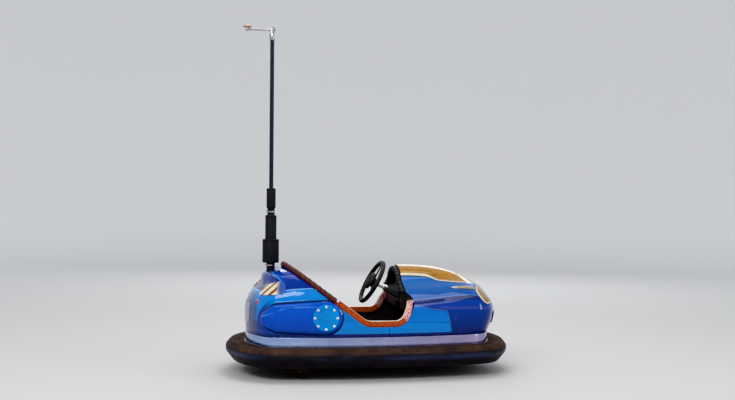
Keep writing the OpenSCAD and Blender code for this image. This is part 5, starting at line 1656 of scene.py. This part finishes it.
net = finish("light_blue_disc", Coat_Weight=0.9, Coat_Roughness=0.06, Coat_IOR=1.4, Specular_IOR_Level=0.08)
tone = net.mix(net.patches(9, 4), (0.0015, 0.19, 0.56), (0.003, 0.26, 0.7))
lines = net.worn("Lines", 1.3, 0.6)
rubbed = net.worn("Rubbed", 1.0, 0.5)
tone = net.mix(lines, tone, PALE, 0.25)
net.give("Base Color", tone)
net.give("Roughness", net.spread(rubbed, 0, 1, 0.2, 0.5))
net.skin(net.noise(120, 2), 0.0002)
disc_plastic = net.made
bolt_white = bare_metal("bolt_caps", (0.62, 0.66, 0.74), (0.86, 0.9, 0.96), (0.18, 0.35), dust=0.1)
discs, caps = bmesh.new(), bmesh.new()
for side in (-1, 1):
    spot = wall_place(DISC_ANGLE, DISC_Z, -BODY_IN + POD_OUT, side)
    profile = rounded([(0, 0.0062, 0), (0.016, 0.0062, 0.002), (0.019, 0.0078, 0.001),
                       (0.024, 0.0078, 0.001), (0.027, 0.0055, 0.002), (0.0575, 0.005, 0.003),
                       (0.061, 0.0078, 0.002), (0.0855, 0.0086, 0.003),
                       (0.088, 0.005, 0.002), (0.088, 0.0003, 0)], 3, closed=False)
    discs = lathe(profile, 96, spot, discs)
    for k in range(8):
        a = 2 * math.pi * k / 8
        at = spot @ moved(0.074 * math.cos(a), 0.074 * math.sin(a), 0.0082)
        caps = lathe([(0, 0.0056), (0.0042, 0.0052), (0.0062, 0.0038),
                      (0.0066, 0.0016), (0.0092, 0.0012), (0.0098, 0)], 16, at, caps)
piece("side_disc_plates", discs, disc_plastic, ["side_discs"], crisp=40)
piece("side_disc_bolts", caps, bolt_white, crisp=40)

# Pole and collector

sleeve_rubber = moulded("sleeve_rubber", (0.0065, 0.0065, 0.0085),
                        0.5, grain=0.0004, grain_scale=300, dust=0.0, scratch=0.6)
pole_paint = painted_steel("pole_paint", (0.0035, 0.006, 0.022), rust=0.15, rough=0.28, dust=0.0, chips=0.35)
copper = bare_metal("copper_contact", (0.42, 0.19, 0.09),
                    (0.68, 0.36, 0.2), (0.2, 0.5), (1, 12, 1), 0.8, 0.0)
STEPS = [(0.64, 0.745, 0.028), (0.745, 0.905, 0.056), (0.905, 1.068, 0.038), (1.068, 1.117, 0.025),
         (1.117, 1.252, 0.031)]
corners = [(POLE_R + 0.0004, 0.6402, 0)]
for low, high, r in STEPS:
    corners += [(r, low + 0.0002, min(0.006, r * 0.2)), (r, high - 0.0002, 0.005)]
corners.append((POLE_R + 0.0004, 1.2518, 0))
sleeve = lathe(rounded(corners, 4, closed=False), 56)
for z, r in ((0.752, 0.056), (0.897, 0.056), (0.912, 0.038), (1.061, 0.038), (1.124, 0.031), (1.245, 0.031)):
    ring = [(r - 0.003, z - 0.0045), (r - 0.0006, z - 0.004), (r, z - 0.002), (r, z + 0.002),
            (r - 0.0006, z + 0.004), (r - 0.003, z + 0.0045)]
    sleeve = lathe(ring, 56, into=sleeve)
for k in range(10):
    z = 0.768 + 0.0128 * k
    sleeve = lathe([(0.0552, z - 0.0025), (0.0558, z - 0.0012), (0.0558, z + 0.0012), (0.0552, z + 0.0025)],
                   56, into=sleeve)
sleeve.transform(moved(POLE_X, 0, 0))
piece("pole_sleeve_rubber", sleeve, sleeve_rubber, ["pole_sleeve"], crisp=40)
clips = bmesh.new()
for z, r in ((0.66, 0.028), (0.728, 0.028), (1.0925, 0.025)):
    clips = lathe([(r + 0.0002, z - 0.0045), (r + 0.0012, z - 0.004),
                   (r + 0.0012, z + 0.004), (r + 0.0002, z + 0.0045)], 48, moved(POLE_X, 0, 0), clips)
    clips = block((0.012, 0.008, 0.01), (POLE_X - r - 0.002, 0, z), 0.0015, into=clips)
piece("sleeve_clips", clips, machined, crisp=35)

pole = lathe([(0, 0.144), (POLE_R - 0.001, 0.144), (POLE_R, 0.146), (POLE_R, POLE_TOP - 0.001),
              (POLE_R - 0.001, POLE_TOP), (0, POLE_TOP)], 40, moved(POLE_X, 0, 0))
piece("pole_tube_painted", pole, pole_paint, ["pole_tube"], crisp=40)
head = softened_copy("collector_head", 0.0012)
for side in (-1, 1):
    head = bolt_head(moved(POLE_X, side * 0.0129, POLE_TOP + 0.036) @ spun(-side * math.pi / 2, "X"),
                     0.006, 0.004, head)
piece("collector_yoke", head, machined, ["collector_head"], "collector_swivel", crisp=35)
softened_piece("collector_arm_turned", "collector_arm", 0.001, machined, "collector_arm")
softened_piece("contact_shoe_turned", "contact_shoe", 0.0008, copper, "collector_arm")

# Chassis and running gear

cast_grey = cast_metal("cast_grey", (0.085, 0.085, 0.088))
motor_paint = painted_steel("motor_paint", (0.012, 0.035, 0.045), chips=0.5, dust=0.7)
tyre_rubber = moulded("tyre_rubber", (0.009, 0.0085, 0.0085), 0.72, grain=0.0007, grain_scale=260, dust=0.22)
band_steel = bare_metal("band_steel", (0.16, 0.15, 0.145),
                        (0.3, 0.29, 0.28), (0.4, 0.7), (1, 1, 10), 0.7, 0.6)

ladder = softened_copy("chassis_frame", 0.0035, angle=60)
for x, side in [(x, s) for x in (-0.7246, -0.6, -0.39, 0.215, 0.645, 0.7246) for s in (-1, 1)]:
    for edge in (-1, 1):
        bead = [Vector((x + edge * 0.0195, side * 0.2042, 0.102 + 0.036 * k / 8)) for k in range(9)]
        ladder = bar(bead, [0.0028 + 0.0006 * (k % 2) for k in range(9)], 7, into=ladder)
piece("ladder_frame", ladder, frame_steel, ["chassis_frame"], crisp=35)
hoop_line = rounded([(-0.1443, 0.1, 0.004), (-0.1443, 0.1397, 0.004),
                     (-0.1843, 0.1397, 0.004), (-0.1843, 0.1, 0.004)], 3)
piece("frame_hoop_tube", round_the_plan(hoop_line, steps=(44, 12, 24)),
      frame_steel, ["frame_hoop"], crisp=40)
for node, paint in (("floor_plate", floor_steel), ("bumper_band", band_steel)):
    solids[node].data.materials.clear()
    solids[node].data.materials.append(paint)
softened_piece("turntable_race", "turntable_ring", 0.0012, machined)
softened_piece("rear_axle_brackets", "rear_brackets", 0.001, frame_steel)
softened_piece("rear_axle_turned", "rear_axle", 0.0006, machined)

softened_piece("turntable_casting", "drive_turntable", 0.0015, cast_grey, "drive_unit")
softened_piece("fork_casting", "drive_fork", 0.0015, cast_grey, "drive_unit")
motor = softened_copy("drive_motor", 0.0006)
for k in range(8):
    z = 0.262 + 0.0095 * k
    motor = lathe([(0.0772, z - 0.0022), (0.0792, z - 0.0016), (0.0792, z + 0.0016), (0.0772, z + 0.0022)],
                  64, moved(DRIVE_X, 0, 0), motor)
for k in range(6):
    a = math.radians(60 * k)
    motor = bolt_head(moved(DRIVE_X + 0.052 * math.cos(a), 0.052 * math.sin(a), 0.36), 0.0048, 0.004, motor)
piece("motor_body", motor, motor_paint, ["drive_motor"], "drive_unit", crisp=35)


def tyre(r, wide, inner, steps):
    """Solid rubber tyre with two shallow grooves round its tread."""
    half = wide / 2
    line = [(inner, -half + 0.004), (r - 0.007, -half), (r - 0.002, -half + 0.003), (r, -half + 0.008)]
    for y in (-half * 0.34, half * 0.34):
        line += [(r, y - 0.0028), (r - 0.0028, y - 0.0014), (r - 0.0028, y + 0.0014), (r, y + 0.0028)]
    line += [(r, half - 0.008), (r - 0.002, half - 0.003), (r - 0.007, half), (inner, half - 0.004)]
    return lathe(line + line[:1], steps)


def wheel_at(x, y, z):
    return moved(x, y, z) @ spun(math.pi / 2, "X")


band = tyre(DRIVE_R, DRIVE_W, DRIVE_R * 0.62, 56)
band.transform(wheel_at(DRIVE_X, 0, DRIVE_R))
piece("drive_tyre_rubber", band, tyre_rubber, ["drive_tyre"], "drive_wheel", crisp=40)
softened_piece("drive_hub_casting", "drive_hub", 0.0012, cast_grey, "drive_wheel")
for side, name in ((1, "left"), (-1, "right")):
    band = tyre(REAR_R, REAR_W, REAR_R * 0.62, 44)
    band.transform(wheel_at(REAR_X, side * REAR_Y, REAR_R))
    piece("rear_tyre_rubber_" + name, band, tyre_rubber,
          ["rear_tyre_" + name], "rear_wheel_" + name, crisp=40)
    softened_piece("rear_hub_casting_" + name, "rear_hub_" + name,
                   0.001, cast_grey, "rear_wheel_" + name)

# Camera, light and floor


def aim(thing, place, target, roll=0.0):
    back = (Vector(place) - Vector(target)).normalized()
    thing.location = place
    thing.rotation_mode = "QUATERNION"
    thing.rotation_quaternion = ((-back).to_track_quat("-Z", "Y")
                                 @ Matrix.Rotation(roll, 3, "Z").to_quaternion())


def soft_light(name, place, target, size, power, colour=(1, 1, 1)):
    lamp = bpy.data.lights.new(name, "AREA")
    lamp.shape, lamp.energy, lamp.color = "RECTANGLE", power, colour
    lamp.size, lamp.size_y = size
    aim(add_object(name, lamp), place, target)


camera = add_object("camera", bpy.data.cameras.new("camera"))
bpy.context.scene.camera = camera
camera.data.lens = 61.5
CAMERA_AT, PITCH = Vector((-1.809, -8.506, 1.432)), math.radians(-1.7)
ahead = Vector((0.20757 * math.cos(PITCH), 0.97822 * math.cos(PITCH), math.sin(PITCH)))
aim(camera, CAMERA_AT, CAMERA_AT + ahead, math.radians(0.58))
camera.data.clip_end = 200

soft_light("key", (-4.2, -6.4, 5.4), (0, 0, 0.4), (6.4, 1.3), 330, (1, 0.975, 0.94))
soft_light("fill", (6.2, -4.6, 2.4), (0, 0, 0.5), (0.8, 3.4), 95, (0.94, 0.97, 1))
soft_light("overhead", (0.2, 0.2, 5.2), (0, 0, 0.4), (4.4, 2.2), 75)
soft_light("back", (1.8, 6.6, 3.2), (0, 0, 0.6), (4.6, 1.4), 85, (0.95, 0.97, 1))

world = bpy.data.worlds.new("studio")
bpy.context.scene.world = world
world.use_nodes = True
world.node_tree.nodes["Background"].inputs["Color"].default_value = 0.86, 0.89, 0.95, 1
world.node_tree.nodes["Background"].inputs["Strength"].default_value = 0.8
bpy.context.scene.view_settings.view_transform = "Khronos PBR Neutral"

net = finish("studio_floor", Roughness=0.9, Specular_IOR_Level=0.1)
away = net.plus(net.times(net.axis("X"), net.axis("X")), net.times(net.axis("Y"), net.axis("Y")))
# Painted light: the floor and backdrop grow lighter away from the car, making up for light that falls off
# there.
net.give("Base Color", net.mix(net.spread(away, 16, 130), (0.62, 0.615, 0.6), (0.84, 0.835, 0.82)))
studio = bmesh.new()
rise = [(9 + 8 * math.sin(0.1 * k), 0, 8 - 8 * math.cos(0.1 * k)) for k in range(1, 15)]
line = chain(studio, [(0, 0, 0), (9, 0, 0)] + rise)
full_turn(studio, line, 96)
tidy(studio)
if studio.faces[0].normal.z < 0:
    bmesh.ops.reverse_faces(studio, faces=studio.faces)
mesh = as_mesh("studio_floor", studio)
mesh.polygons.foreach_set("use_smooth", [True] * len(mesh.polygons))
mesh.materials.append(net.made)
ground = add_object("studio_floor", mesh)
